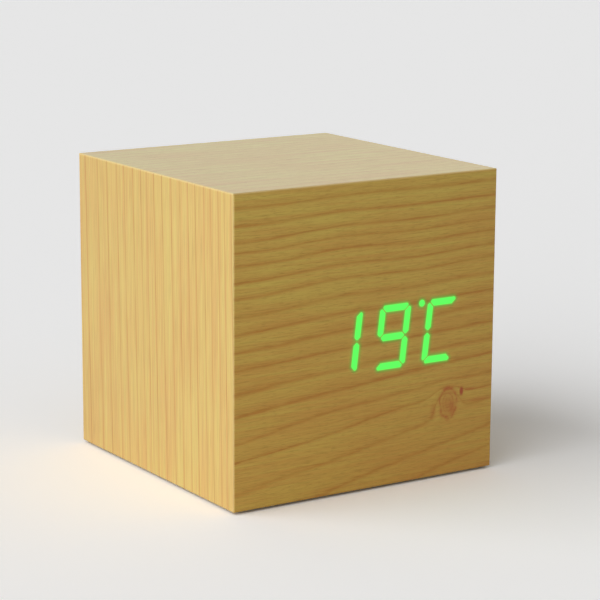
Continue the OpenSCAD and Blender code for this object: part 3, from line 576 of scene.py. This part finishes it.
def sheet_wood(name, sheet):
    """Veneer of one sheet of the case."""
    nodes, spot = new_material(name)
    k = sheet.across
    start = LOW[k] if sheet.way > 0 else HIGH[k]
    width = HIGH[k] - LOW[k]
    across = nodes.times(nodes.plus(spot[k], -start), sheet.way)
    along = nodes.plus(spot[sheet.along], -HIGH[sheet.along])
    ring = sheet_rings(nodes, along, across, width, sheet)
    colour = wood_skin(nodes, along, across, ring, sheet.wood)
    # Painted light and shade: the colour drifts to a tint across the sheet
    colour = nodes.mix(nodes.times(across, 1 / width), colour, (*sheet.drift, 1.0), "MULTIPLY")
    return nodes.surface({"Base Color": wear_and_highlight(nodes, colour, spot, (sheet.along, k))})


def band_wood(name):
    """Veneer band round the rear edge: the grain follows each side and meets in mitres."""
    nodes, spot = new_material(name)
    x, z = spot[X], nodes.plus(spot[Z], -MIDDLE.z)
    upright = nodes.math("GREATER_THAN", nodes.math("ABSOLUTE", x), nodes.math("ABSOLUTE", z))
    along = nodes.between(upright, x, z)
    across = nodes.between(upright, z, x)
    wander = waver(nodes, along, across, BAND_WOOD.seed, BAND_WAVER)
    ring = nodes.plus(nodes.times(across, 1 / BAND_SPACING), wander)
    colour = wood_skin(nodes, along, across, ring, BAND_WOOD)
    return nodes.surface({"Base Color": wear_and_highlight(nodes, colour, spot, (X, Z))})


def knot_rise(nodes, right, below):
    """How far the grain lines of the front sheet rise over the knot, in millimetres."""
    away = nodes.oval(right, below, RISE_AT, RISE_RADII)
    hill = nodes.math("EXPONENT", nodes.times(nodes.math("POWER", away, 2.0), -1.0))
    return nodes.times(hill, RISE_HEIGHT)


def slow_wave(nodes, right, below):
    """How far the upper grain lines of the front sheet rise on their slow wave, in millimetres."""
    turn = nodes.times(nodes.plus(right, -WAVE_START), math.tau / WAVE_LENGTH)
    down = nodes.math("SINE", nodes.times(below, math.pi / WAVE_REACH))
    swing = nodes.times(nodes.math("SINE", turn), nodes.math("MAXIMUM", down, 0.0))
    return nodes.times(swing, -WAVE_HEIGHT)


def front_rings(nodes, right, below):
    """Ring count of the front sheet: lines between two edges, on a slow wave and risen over a knot."""
    t = nodes.times(right, 1 / CASE_W)
    down = nodes.math("POWER", nodes.times(below, 1 / CASE_W), 2.0)
    curl = nodes.between(down, *CURL)
    share = nodes.math("MULTIPLY_ADD", nodes.times(t, nodes.rest(t)), curl, t)
    risen = nodes.plus(slow_wave(nodes, right, below), knot_rise(nodes, right, below))
    height = nodes.plus(below, risen)
    at_left = line_count(nodes, height, LINES_LEFT)
    at_right = line_count(nodes, height, LINES_RIGHT)
    wander = waver(nodes, right, below, FRONT_WOOD.seed, FRONT_WAVER)
    return nodes.plus(nodes.between(share, at_left, at_right), nodes.plus(wander, LINE_PLACE - 1.0))


def spot_mask(nodes, right, below, spot):
    """A spot's strength in its middle, fading to 0 at its rim."""
    away = nodes.oval(right, below, (spot.right, spot.below), (spot.wide, spot.tall))
    return nodes.times(nodes.rest(nodes.step(away, spot.inner, 1.0)), spot.strength)


def knotted(nodes, colour, right, below):
    """Adds the red knot with its broken rings, and the spots in and beside it."""
    place = (right, below, below)
    bend = nodes.noise(nodes.stretched(place, KNOT_BEND_SIZE, seed=7.0))
    away = nodes.oval(right, below, KNOT_AT, KNOT_RADII)
    bent = nodes.times(away, nodes.between(bend, *KNOT_BEND))
    broken = nodes.noise(nodes.stretched(place, KNOT_BREAK_SIZE, seed=17.0))
    strength = nodes.between(nodes.step(broken, *KNOT_BREAK_RANGE), *KNOT_STRENGTH)
    colour = nodes.mix(nodes.times(nodes.curve(bent, KNOT_PROFILE), strength), colour, KNOT_RED)
    for spot in KNOT_SPOTS:
        colour = nodes.mix(spot_mask(nodes, right, below, spot), colour, spot.colour)
    return colour


def shining_through(nodes, colour):
    """Surface of the front sheet: its colour, and the light of the segments behind it."""
    distance = nodes.add("ShaderNodeAttribute", attribute_name="lamp_distance").outputs["Fac"]
    glow = nodes.rest(nodes.step(distance, *GLOW_RANGE))
    outside = nodes.math("MAXIMUM", distance, 0.0)
    halo = nodes.math("EXPONENT", nodes.times(outside, -1 / HALO_LENGTH))
    fringe = nodes.rest(nodes.step(distance, *FRINGE_RANGE))
    lit = nodes.math("MAXIMUM", glow, nodes.times(fringe, FRINGE_STRENGTH))
    return nodes.surface({
        "Base Color": nodes.mix(lit, colour, LIT_BASE),
        "Emission Color": GLOW_COLOUR,
        "Emission Strength": nodes.math("MAXIMUM", glow, nodes.times(halo, HALO_STRENGTH)),
    })


def front_wood(name):
    """Veneer of the front: measured grain, a knot, and the lit segments."""
    nodes, spot = new_material(name)
    right = nodes.plus(spot[X], -LOW.x)
    below = nodes.math("SUBTRACT", HIGH.z, spot[Z])
    ring = front_rings(nodes, right, below)
    pinch = nodes.times(nodes.step(below, *THIN_RANGE), THIN_PINCH)
    colour = wood_skin(nodes, right, below, ring, FRONT_WOOD, pinch)
    # Painted light and shade: warmer and darker towards the base from bounce light, darker towards the
    # right
    for way, tint in ((below, FRONT_PAINTED_BOUNCE), (right, FRONT_PAINTED_SHADE)):
        colour = nodes.mix(nodes.times(way, 1 / CASE_W), colour, (*tint, 1.0), "MULTIPLY")
    colour = wear_and_highlight(nodes, knotted(nodes, colour, right, below), spot, (X, Z))
    return shining_through(nodes, colour)


def fibreboard(name):
    """Raw pressed fibre: short pale and dark fibres in every direction."""
    nodes, spot = new_material(name)
    fluff = nodes.specks(spot, 0.5, detail=4.0, roughness=0.7)
    cloud = nodes.specks(spot, 6.0, seed=2.0)
    colour = nodes.mix(nodes.step(fluff, 0.3, 0.7), srgb(150, 112, 74), srgb(186, 148, 104))
    colour = nodes.mix(nodes.times(cloud, 0.4), colour, srgb(160, 120, 80))
    return nodes.surface({"Base Color": colour, "Roughness": 0.9, "Normal": nodes.bump(fluff, 0.08)})


def softwood(name):
    """Raw softwood of the corner blocks, grain along y."""
    nodes, (x, y, z) = new_material(name)
    wander = waver(nodes, y, x, BLOCK_WOOD.seed, BLOCK_WAVER)
    ring = nodes.plus(nodes.times(nodes.plus(x, z), 1 / BLOCK_SPACING), wander)
    colour = wood_skin(nodes, y, x, ring, BLOCK_WOOD)
    return nodes.surface({"Base Color": nodes.mix(RAW_SHARE, colour, RAW_SOFTWOOD), "Roughness": 0.8})


# Plastics, rubber and metals

def moulded(name, colour, roughness, grain, depth):
    """Moulded plastic with a spark-eroded skin and slightly uneven gloss."""
    nodes, spot = new_material(name)
    skin = nodes.specks(spot, grain, roughness=0.6)
    cloud = nodes.specks(spot, 8.0, seed=4.0)
    return nodes.surface({
        "Base Color": nodes.mix(cloud, shaded(colour, 0.85), shaded(colour, 1.2)),
        "Roughness": nodes.between(skin, roughness - 0.08, roughness + 0.08),
        "Normal": nodes.bump(skin, depth),
    })


def button_plastic(name, node):
    """Satin button with a paint-filled mark sunk into its end."""
    nodes, spot = new_material(name)
    low, high = box_of(node)
    middle = (low + high) / 2
    skin = nodes.specks(spot, 0.3, roughness=0.6)
    away = nodes.oval(spot[X], spot[Z], (middle.x, middle.z), (MARK_REACH, MARK_REACH))
    inside = nodes.math("LESS_THAN", away, 1.0)
    rise = nodes.math("ABSOLUTE", nodes.plus(spot[Y], MARK_DEPTH - high.y))
    filled = nodes.times(nodes.math("LESS_THAN", rise, MARK_PLAY), inside)
    plain = nodes.mix(skin, srgb(40, 40, 42), srgb(58, 58, 60))
    return nodes.surface({
        "Base Color": nodes.mix(filled, plain, srgb(226, 226, 222)),
        "Roughness": nodes.between(skin, 0.38, 0.5),
        "Normal": nodes.bump(skin, 0.012),
    })


def metal(name, colour, roughness, tint):
    """Plated metal: fine scratches, cloudy tint and uneven gloss."""
    nodes, spot = new_material(name)
    cloud = nodes.specks(spot, 2.5, seed=6.0)
    scratch = nodes.noise(nodes.stretched(spot, SCRATCH_SIZE, seed=1.0), detail=3.0, roughness=0.6)
    return nodes.surface({
        "Base Color": nodes.mix(nodes.times(cloud, 0.6), colour, tint),
        "Metallic": 1.0,
        "Roughness": nodes.between(scratch, roughness - 0.1, roughness + 0.12),
        "Normal": nodes.bump(scratch, 0.006),
    })


def foam_rubber(name):
    """Matt foam rubber with small pores and dust."""
    nodes, spot = new_material(name)
    values = {"Vector": nodes.stretched(spot, CELL_SIZE), "Scale": 1.0}
    cells = nodes.add("ShaderNodeTexVoronoi", values)
    dust = nodes.specks(spot, 1.5, seed=8.0, detail=3.0, roughness=0.6)
    return nodes.surface({
        "Base Color": nodes.mix(nodes.step(dust, 0.4, 0.8), srgb(48, 46, 44), srgb(84, 80, 74)),
        "Roughness": 0.92,
        "Normal": nodes.bump(cells.outputs["Distance"], 0.05),
    })


def insulation(name, colour):
    """Soft wire insulation with faint drawing marks along it."""
    nodes, spot = new_material(name)
    marks = nodes.noise(nodes.stretched(spot, DRAWN_SIZE))
    return nodes.surface({
        "Base Color": nodes.mix(marks, shaded(colour, 0.8), shaded(colour, 1.25)),
        "Roughness": nodes.between(marks, 0.42, 0.58),
        "Normal": nodes.bump(marks, 0.01),
    })


# Electronics

def circuit_board(name, seed):
    """Green solder mask over copper runs, with tinned pads on a fine grid."""
    nodes, spot = new_material(name)
    x, z = spot[X], spot[Z]
    patch = nodes.noise(nodes.stretched((x, z, spot[Y]), AREA_SIZE, seed), detail=0.0)
    in_level = nodes.math("GREATER_THAN", patch, LEVEL_ABOVE)
    in_upright = nodes.math("LESS_THAN", patch, UPRIGHT_BELOW)
    level = nodes.times(nodes.stripes(z, *RUNS), in_level)
    upright = nodes.times(nodes.stripes(x, *RUNS), in_upright)
    runs = nodes.math("MAXIMUM", level, upright)
    dots = nodes.times(nodes.stripes(x, *PADS), nodes.stripes(z, *PADS))
    pads = nodes.times(dots, nodes.math("GREATER_THAN", patch, PADS_ABOVE))
    weave = nodes.specks(spot, 0.35, seed)
    mask = nodes.mix(weave, srgb(10, 74, 42), srgb(18, 92, 54))
    colour = nodes.mix(runs, mask, srgb(38, 128, 74))
    return nodes.surface({
        "Base Color": nodes.mix(pads, colour, srgb(204, 202, 194)),
        "Metallic": pads,
        "Roughness": nodes.between(weave, 0.28, 0.42),
        "Normal": nodes.bump(nodes.math("MAXIMUM", runs, pads), 0.03),
    })


def lit_resin(name):
    """Segment filling with the light on, in cloudy resin."""
    nodes, spot = new_material(name)
    cloud = nodes.specks(spot, 1.2)
    return nodes.surface({
        "Base Color": nodes.mix(cloud, srgb(120, 235, 120), srgb(190, 250, 180)),
        "Roughness": 0.35,
        "Emission Color": GLOW_COLOUR,
        "Emission Strength": nodes.between(cloud, 0.75, 1.1),
    })


def clear_resin(name):
    """Segment filling with the light off: cloudy pale epoxy."""
    nodes, spot = new_material(name)
    cloud = nodes.specks(spot, 0.8, detail=3.0)
    return nodes.surface({
        "Base Color": nodes.mix(cloud, srgb(206, 212, 200), srgb(232, 234, 226)),
        "Roughness": nodes.between(cloud, 0.3, 0.45),
        "Subsurface Weight": 0.2,
    })


def led_die(name):
    """Small light chip: pale case with a yellow spot of phosphor."""
    nodes, spot = new_material(name)
    cloud = nodes.specks(spot, 0.4)
    phosphor = nodes.step(cloud, 0.4, 0.6)
    return nodes.surface({
        "Base Color": nodes.mix(phosphor, srgb(238, 232, 206), srgb(226, 204, 120)),
        "Roughness": nodes.between(cloud, 0.35, 0.55),
    })


def resistor_case(name):
    """Chip resistors in a row: black bodies with tinned ends."""
    nodes, spot = new_material(name)
    low, _ = box_of("resistors")
    phase = nodes.math("FLOORED_MODULO", nodes.plus(spot[X], -low.x), RESISTOR_PITCH)
    off = nodes.math("ABSOLUTE", nodes.plus(phase, -RESISTOR_HALF))
    ends = nodes.math("GREATER_THAN", off, RESISTOR_BODY)
    cloud = nodes.specks(spot, 0.5)
    body = nodes.mix(cloud, srgb(24, 24, 26), srgb(44, 44, 46))
    return nodes.surface({
        "Base Color": nodes.mix(ends, body, srgb(206, 204, 196)),
        "Metallic": ends,
        "Roughness": nodes.between(cloud, 0.3, 0.5),
    })


def capacitor_sleeve(name):
    """Shrunk sleeve with a pale stripe down one side, open over the can's end."""
    nodes, spot = new_material(name)
    low, high = box_of("capacitor")
    middle = (low + high) / 2
    stripe = nodes.math("LESS_THAN", spot[X], middle.x - SLEEVE_STRIPE * (high.x - low.x))
    away = nodes.oval(spot[X], spot[Z], (middle.x, middle.z), (CAN_RADIUS, CAN_RADIUS))
    inside = nodes.math("LESS_THAN", away, 1.0)
    can = nodes.times(inside, nodes.math("GREATER_THAN", spot[Y], high.y - SLEEVE_LIP))
    cloud = nodes.specks(spot, 0.8)
    blue = nodes.mix(cloud, srgb(24, 30, 74), srgb(34, 42, 92))
    sleeve = nodes.mix(stripe, blue, srgb(190, 192, 200))
    return nodes.surface({
        "Base Color": nodes.mix(can, sleeve, srgb(208, 208, 206)),
        "Metallic": can,
        "Roughness": nodes.between(cloud, 0.26, 0.4),
    })


def ribbon_sheath(name):
    """Flat cable: round conductors side by side, the first one marked red, with painted shade in the
    grooves between them.
    """
    nodes, spot = new_material(name)
    _, high = box_of("ribbon_cable")
    phase = nodes.math("FRACT", nodes.times(nodes.plus(spot[X], -high.x), 1 / RIBBON_PITCH))
    crown = nodes.math("SINE", nodes.times(phase, math.pi))
    first = nodes.math("GREATER_THAN", spot[X], high.x - RIBBON_PITCH)
    # Painted shade: darker in the grooves between the conductors, lighter on their crowns
    grey_with_painted_shade = nodes.mix(crown, srgb(140, 142, 146), srgb(176, 178, 182))
    return nodes.surface({
        "Base Color": nodes.mix(first, grey_with_painted_shade, srgb(176, 44, 40)),
        "Roughness": nodes.between(crown, 0.6, 0.48),
        "Normal": nodes.bump(crown, 0.25),
    })


def battery_foil(name, node):
    """Cell in a plain foil jacket with two pale bands, bare steel at both ends."""
    nodes, spot = new_material(name)
    low, high = box_of(node)
    nub_side = -1.0 if low.x + high.x < 0 else 1.0
    nub_end = low.x if nub_side < 0 else high.x
    depth = nodes.times(nodes.plus(spot[X], -nub_end), -nub_side)
    started = nodes.step(depth, JACKET_START, JACKET_START + JACKET_SOFT)
    jacket = nodes.times(started, nodes.math("LESS_THAN", depth, high.x - low.x - BARE_END))
    bands = []
    for start, end in PALE_BANDS:
        begun = nodes.step(depth, start - BAND_SOFT, start)
        bands.append(nodes.times(begun, nodes.math("LESS_THAN", depth, end)))
    cloud = nodes.noise(nodes.stretched(spot, FOIL_SIZE, seed=5.0), detail=3.0)
    foil = nodes.mix(cloud, srgb(22, 62, 84), srgb(34, 82, 106))
    foil = nodes.mix(nodes.math("MAXIMUM", *bands), foil, srgb(206, 210, 208))
    return nodes.surface({
        "Base Color": nodes.mix(jacket, srgb(196, 196, 192), foil),
        "Metallic": nodes.between(jacket, 1.0, 0.35),
        "Roughness": nodes.between(cloud, 0.24, 0.4),
        "Normal": nodes.bump(cloud, 0.01),
    })


# Outlines, as lists of x and z in millimetres

def front_faces(node):
    """Outlines of a node's flat front faces, and their y."""
    shape = bmesh.new()
    shape.from_mesh(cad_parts[node].data)
    bmesh.ops.remove_doubles(shape, verts=shape.verts, dist=WELD)
    front = min(vertex.co.y for vertex in shape.verts)
    others = [face for face in shape.faces if max(v.co.y for v in face.verts) > front + WELD]
    bmesh.ops.delete(shape, geom=others, context="FACES")
    bmesh.ops.dissolve_faces(shape, faces=shape.faces[:])
    outlines = [[Vector((v.co.x, v.co.z)) / MM for v in face.verts] for face in shape.faces]
    shape.free()
    return outlines, front / MM


def anticlockwise(outline):
    area = sum(a.cross(b) for a, b in zip(outline, outline[1:] + outline[:1]))
    return outline if area > 0 else outline[::-1]


def outline_distance(outline, point):
    """Distance of a point from a convex outline that runs anticlockwise, below 0 inside it."""
    nearest = math.inf
    inside = True
    for start, end in zip(outline, outline[1:] + outline[:1]):
        side = end - start
        off = point - start
        share = min(max(off.dot(side) / side.length_squared, 0.0), 1.0)
        nearest = min(nearest, (off - side * share).length)
        inside = inside and side.cross(off) > 0
    return -nearest if inside else nearest


def clipped(outline, point, inward):
    """The part of a convex outline on the inner side of a line."""
    depths = [(corner - point).dot(inward) for corner in outline]
    kept = []
    for k, corner in enumerate(outline):
        n = (k + 1) % len(outline)
        if depths[k] >= 0:
            kept.append(corner)
        if depths[k] * depths[n] < 0:
            kept.append(corner.lerp(outline[n], depths[k] / (depths[k] - depths[n])))
    return kept


def shrunk(outline, amount):
    """A convex outline that runs anticlockwise, moved inwards."""
    kept = outline
    for start, end in zip(outline, outline[1:] + outline[:1]):
        inward = Vector((start.y - end.y, end.x - start.x)).normalized()
        kept = clipped(kept, start + inward * amount, inward)
    return kept


def ring_round(outline, distance):
    """Points at one distance outside a convex outline, with round corners."""
    count = len(outline)
    sides = [outline[(k + 1) % count] - outline[k] for k in range(count)]
    outs = [Vector((side.y, -side.x)).normalized() for side in sides]
    points = []
    for k, side in enumerate(sides):
        steps = max(int(side.length / CONTOUR_STEP), 1)
        points += [outline[k] + side * (i / steps) + outs[k] * distance for i in range(steps)]
        following = outs[(k + 1) % count]
        turns = [outs[k].lerp(following, i / CORNER_STEPS).normalized() for i in range(CORNER_STEPS)]
        points += [outline[(k + 1) % count] + turn * distance for turn in turns]
    return points


# Pieces that are modelled here

def front_points(border, cores):
    """Points of the front sheet's face: its border, rings round the lit segments and a wide grid.

    A core is a segment's outline moved inwards. Going out from it again rounds the segment's corners.
    """
    def distance(point):
        return min(outline_distance(core, point) for core in cores) - CORNER_ROUND

    points = list(border)
    for level in CONTOURS:
        for core in cores:
            ring = ring_round(core, level + CORNER_ROUND)
            points += [point for point in ring if abs(distance(point) - level) < SAME_LEVEL]
    low_x, high_x = [pick(point.x for point in border) for pick in (min, max)]
    low_z, high_z = [pick(point.y for point in border) for pick in (min, max)]
    for i in range(1, int((high_x - low_x) / GRID_STEP) + 1):
        for j in range(1, int((high_z - low_z) / GRID_STEP) + 1):
            point = Vector((low_x + (i - 0.5) * GRID_STEP, low_z + (j - 0.5) * GRID_STEP))
            if distance(point) > max(CONTOURS):
                points.append(point)
    return points, distance


def front_remainder(front):
    """Corners, faces and corner normals of the CAD front veneer without its flat front face."""
    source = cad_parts["front_veneer"].data
    corners = []
    faces = []
    normals = []
    for polygon in source.polygons:
        spots = [source.vertices[k].co for k in polygon.vertices]
        if max(spot.y for spot in spots) > front * MM + WELD:
            faces.append(list(range(len(corners), len(corners) + len(spots))))
            corners += spots
            normals += [source.corner_normals[k].vector.copy() for k in polygon.loop_indices]
    return corners, faces, normals


def front_sheet():
    """The front veneer: the CAD sheet with a face fine enough to carry the light of the segments."""
    outlines = [anticlockwise(outline) for outline in front_faces("lit_segments")[0]]
    cores = [shrunk(outline, CORNER_ROUND) for outline in outlines]
    borders, front = front_faces("front_veneer")
    border = anticlockwise(borders[0])
    points, distance = front_points(border, cores)
    edges = [(k, (k + 1) % len(border)) for k in range(len(border))]
    flat, _, triangles, _, _, _ = delaunay_2d_cdt(points, edges, [], HULL_TRIANGLES, SAME_POINT)
    corners, faces, normals = front_remainder(front)
    first = len(corners)
    corners += [Vector((point.x, front, point.y)) * MM for point in flat]
    for triangle in triangles:
        faces.append([first + k for k in triangle])
        normals += [Vector((0.0, -1.0, 0.0))] * 3
    mesh = bpy.data.meshes.new("front_sheet")
    mesh.from_pydata(corners, [], faces)
    mesh.normals_split_custom_set(normals)
    distances = [distance(Vector((spot.x, spot.z)) / MM) for spot in corners]
    mesh.attributes.new("lamp_distance", "FLOAT", "POINT").data.foreach_set("value", distances)
    wood = front_wood("front wood")
    return new_piece(mesh, "front_veneer", wood)


def new_piece(mesh, node, material):
    """Adds a mesh to the scene as the piece of the case that stands for a node."""
    piece = bpy.data.objects.new(mesh.name, mesh)
    bpy.context.collection.objects.link(piece)
    mesh.materials.append(material)
    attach(piece, "case")
    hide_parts(node)
    return piece


def mesh_of(shape, name):
    """Turns a finished shape into a mesh whose faces look outwards."""
    mesh = bpy.data.meshes.new(name)
    bmesh.ops.recalc_face_normals(shape, faces=shape.faces[:])
    shape.to_mesh(mesh)
    shape.free()
    return mesh


def add_tube(shape, line, sides, radius):
    """Sweeps a round wire along points that carry their direction and one sideways direction."""
    angles = [math.tau * k / sides for k in range(sides)]
    rings = []
    for point, direction, side in line:
        up = direction.cross(side).normalized()
        spots = [point + radius * (math.cos(a) * side + math.sin(a) * up) for a in angles]
        rings.append([shape.verts.new(spot * MM) for spot in spots])
    for ring, following in zip(rings, rings[1:]):
        for k in range(sides):
            n = (k + 1) % sides
            face = shape.faces.new((ring[k], ring[n], following[n], following[k]))
            face.smooth = True
    shape.faces.new(rings[0][::-1])
    shape.faces.new(rings[-1])


def spring_line(start, end, middle, radius):
    """Middle line of a contact spring along x: its end turns lie flatter than the others."""
    line = []
    for k in range(SPRING_TURNS * SPRING_RINGS + 1):
        t = k / (SPRING_TURNS * SPRING_RINGS)
        angle = math.tau * SPRING_TURNS * t
        eased = SPRING_END_PITCH * t + (1 - SPRING_END_PITCH) * t * t * (3 - 2 * t)
        slope = (end - start) * (SPRING_END_PITCH + (1 - SPRING_END_PITCH) * 6 * t * (1 - t))
        side = Vector((0.0, math.cos(angle), math.sin(angle)))
        turn = math.tau * SPRING_TURNS * radius
        direction = Vector((slope, -turn * math.sin(angle), turn * math.cos(angle))).normalized()
        point = Vector((start + (end - start) * eased, middle.y, middle.z)) + radius * side
        line.append((point, direction, side))
    return line


def contact_springs():
    """Wire springs between the flat end of each battery and its contact plate."""
    low, high = box_of("battery_springs")
    radius = (high.z - low.z - SPRING_WIRE) / 2
    rest = SPRING_GAP + SPRING_WIRE / 2
    shape = bmesh.new()
    for k in (1, 2, 3):
        cell_low, cell_high = box_of(f"battery_{k}")
        middle = (cell_low + cell_high) / 2
        if middle.x < 0:
            line = spring_line(cell_high.x + rest, high.x - SPRING_WIRE / 2, middle, radius)
        else:
            line = spring_line(low.x + SPRING_WIRE / 2, cell_low.x - rest, middle, radius)
        add_tube(shape, line, SPRING_SIDES, SPRING_WIRE / 2)
    mesh = mesh_of(shape, "contact_springs")
    steel = metal("spring steel", srgb(206, 204, 198), roughness=0.24, tint=srgb(178, 172, 160))
    return new_piece(mesh, "battery_springs", steel)


def add_disc(shape, middle, radius, height):
    """A disc with a soft rim, turned from a profile of shares of its radius and height."""
    angles = [math.tau * k / FOOT_SIDES for k in range(FOOT_SIDES)]
    ways = [Vector((math.cos(angle), math.sin(angle), 0)) for angle in angles]
    rings = []
    for out, up in FOOT_PROFILE:
        level = middle + Vector((0, 0, up * height))
        if out == 0:
            rings.append([shape.verts.new(level * MM)] * FOOT_SIDES)
        else:
            rings.append([shape.verts.new((level + way * out * radius) * MM) for way in ways])
    for ring, above in zip(rings, rings[1:]):
        for k in range(FOOT_SIDES):
            n = (k + 1) % FOOT_SIDES
            corners = list(dict.fromkeys((ring[k], ring[n], above[n], above[k])))
            shape.faces.new(corners)


def foot_pads():
    """Four thin stick-on feet with soft rims."""
    low, high = box_of("feet")
    shape = bmesh.new()
    for x in (low.x + FOOT_RADIUS, high.x - FOOT_RADIUS):
        for y in (low.y + FOOT_RADIUS, high.y - FOOT_RADIUS):
            add_disc(shape, Vector((x, y, low.z)), FOOT_RADIUS, high.z - low.z)
    mesh = mesh_of(shape, "foot_pads")
    mesh.shade_smooth()
    return new_piece(mesh, "feet", foam_rubber("foam rubber"))


# Materials of the CAD nodes

def paint(material, *names):
    for name in names:
        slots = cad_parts[name].data.materials
        slots.clear()
        slots.append(material)


def paint_chip(name, case, legs):
    """A chip's case, with its legs, which stay close to the board, in metal."""
    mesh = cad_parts[name].data
    mesh.materials.clear()
    mesh.materials.append(case)
    mesh.materials.append(legs)
    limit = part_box(name)[0].y + LEG_TOP * MM
    for polygon in mesh.polygons:
        top = max(mesh.vertices[k].co.y for k in polygon.vertices)
        polygon.material_index = int(top < limit)


def paint_case():
    for name, sheet in SHEETS.items():
        paint(sheet_wood(name.replace("_", " "), sheet), name)
    paint(band_wood("rear band"), "rear_edge_band")
    boards = [f"{side}_board" for side in ("front", "top", "bottom", "left", "right", "back")]
    paint(fibreboard("fibreboard"), *boards)
    paint(softwood("softwood"), "corner_blocks")
    steel = metal("black steel", srgb(44, 44, 46), roughness=0.42, tint=srgb(30, 30, 32))
    paint(steel, "back_screws")


def paint_display():
    white = moulded("white plastic", srgb(228, 228, 222), roughness=0.5, grain=0.3, depth=0.015)
    paint(white, "display_housing", "main_pcb_spacers", "ribbon_connectors")
    paint(lit_resin("lit resin"), "lit_segments")
    paint(clear_resin("clear resin"), "dark_segments")
    paint(led_die("light chip"), "led_chips")


def paint_boards():
    for seed, name in enumerate(("display_pcb", "main_pcb", "control_pcb")):
        paint(circuit_board(name.replace("_", " "), 10.0 * seed), name)
    tin = metal("tinned metal", srgb(214, 212, 206), roughness=0.3, tint=srgb(190, 186, 176))
    chip = moulded("chip black", srgb(34, 34, 36), roughness=0.55, grain=0.15, depth=0.01)
    paint(tin, "display_pins", "crystal", "microphone", "power_socket_pin", "battery_contacts")
    for button in BUTTONS:
        paint(tin, f"{button}_switch_body")
        paint(chip, f"{button}_switch_plunger")
    paint(chip, "buzzer", "thermistor")
    paint_chip("clock_chip", chip, tin)
    paint_chip("led_driver_chip", chip, tin)
    paint(resistor_case("resistor"), "resistors")
    paint(capacitor_sleeve("capacitor sleeve"), "capacitor")
    paint(ribbon_sheath("ribbon"), "ribbon_cable")
    paint(insulation("red insulation", srgb(186, 26, 22)), "red_lead")
    paint(insulation("black insulation", srgb(36, 36, 38)), "black_lead")


def paint_controls():
    black = moulded("black plastic", srgb(38, 38, 40), roughness=0.52, grain=0.28, depth=0.03)
    paint(black, "control_plate", "power_socket", "battery_box", "battery_door")
    for button in BUTTONS:
        paint(button_plastic(f"{button} button", f"{button}_button"), f"{button}_button")
    zinc = metal("zinc", srgb(200, 202, 204), roughness=0.34, tint=srgb(186, 182, 158))
    paint(zinc, "main_pcb_screws", "control_plate_screws", "control_pcb_screws", "battery_box_screws")
    for k in (1, 2, 3):
        paint(battery_foil(f"battery foil {k}", f"battery_{k}"), f"battery_{k}")


# Studio

def seen_directly(nodes):
    """1 for rays from the camera, a mirror or glass, 0 for light on its way to a surface."""
    path = nodes.add("ShaderNodeLightPath").outputs
    shiny = nodes.math("MAXIMUM", path["Is Glossy Ray"], path["Is Transmission Ray"])
    return nodes.math("MAXIMUM", path["Is Camera Ray"], shiny)


def white_world():
    world = bpy.data.worlds.new("studio")
    bpy.context.scene.world = world
    nodes = Nodes(world)
    background = nodes.tree.nodes["Background"]
    background.inputs["Color"].default_value = (1.0, 1.0, 1.0, 1.0)
    nodes.feed(background.inputs["Strength"], nodes.between(seen_directly(nodes), AMBIENT, 1.0))


def pale_floor():
    half = FLOOR_SIZE / 2
    corners = [(-half, -half, 0), (half, -half, 0), (half, half, 0), (-half, half, 0)]
    mesh = bpy.data.meshes.new("floor")
    mesh.from_pydata(corners, [], [(0, 1, 2, 3)])
    floor = bpy.data.objects.new("floor", mesh)
    bpy.context.collection.objects.link(floor)
    nodes = Nodes(bpy.data.materials.new("floor"))
    colour = nodes.mix(seen_directly(nodes), FLOOR_COLOUR, FLOOR_SEEN)
    matt = nodes.add("ShaderNodeBsdfDiffuse", {"Color": colour})
    nodes.feed(nodes.tree.nodes["Material Output"].inputs["Surface"], matt.outputs[0])
    mesh.materials.append(nodes.owner)


def key_light():
    """Even, soft light from the left."""
    light = bpy.data.lights.new("key", "SUN")
    light.angle = KEY_SPREAD
    light.energy = KEY_STRENGTH
    lamp = bpy.data.objects.new("key", light)
    bpy.context.collection.objects.link(lamp)
    lamp.rotation_euler = (-KEY_FROM).to_track_quat("-Z", "Y").to_euler()


def photo_camera():
    data = bpy.data.cameras.new("camera")
    data.lens = CAMERA_LENS
    data.sensor_width = CAMERA_SENSOR
    camera = bpy.data.objects.new("camera", data)
    bpy.context.collection.objects.link(camera)
    turn = Matrix.Rotation(CAMERA_AZIMUTH, 4, "Z")
    tilt = Matrix.Rotation(math.pi / 2 - CAMERA_ELEVATION, 4, "X")
    roll = Matrix.Rotation(CAMERA_ROLL, 4, "Z")
    camera.matrix_world = Matrix.Translation(CAMERA_PLACE) @ turn @ tilt @ roll
    bpy.context.scene.camera = camera


photo_camera()
white_world()
pale_floor()
key_light()
bpy.context.scene.view_settings.view_transform = "Standard"

paint_case()
paint_display()
paint_boards()
paint_controls()
front_sheet()
contact_springs()
foot_pads()
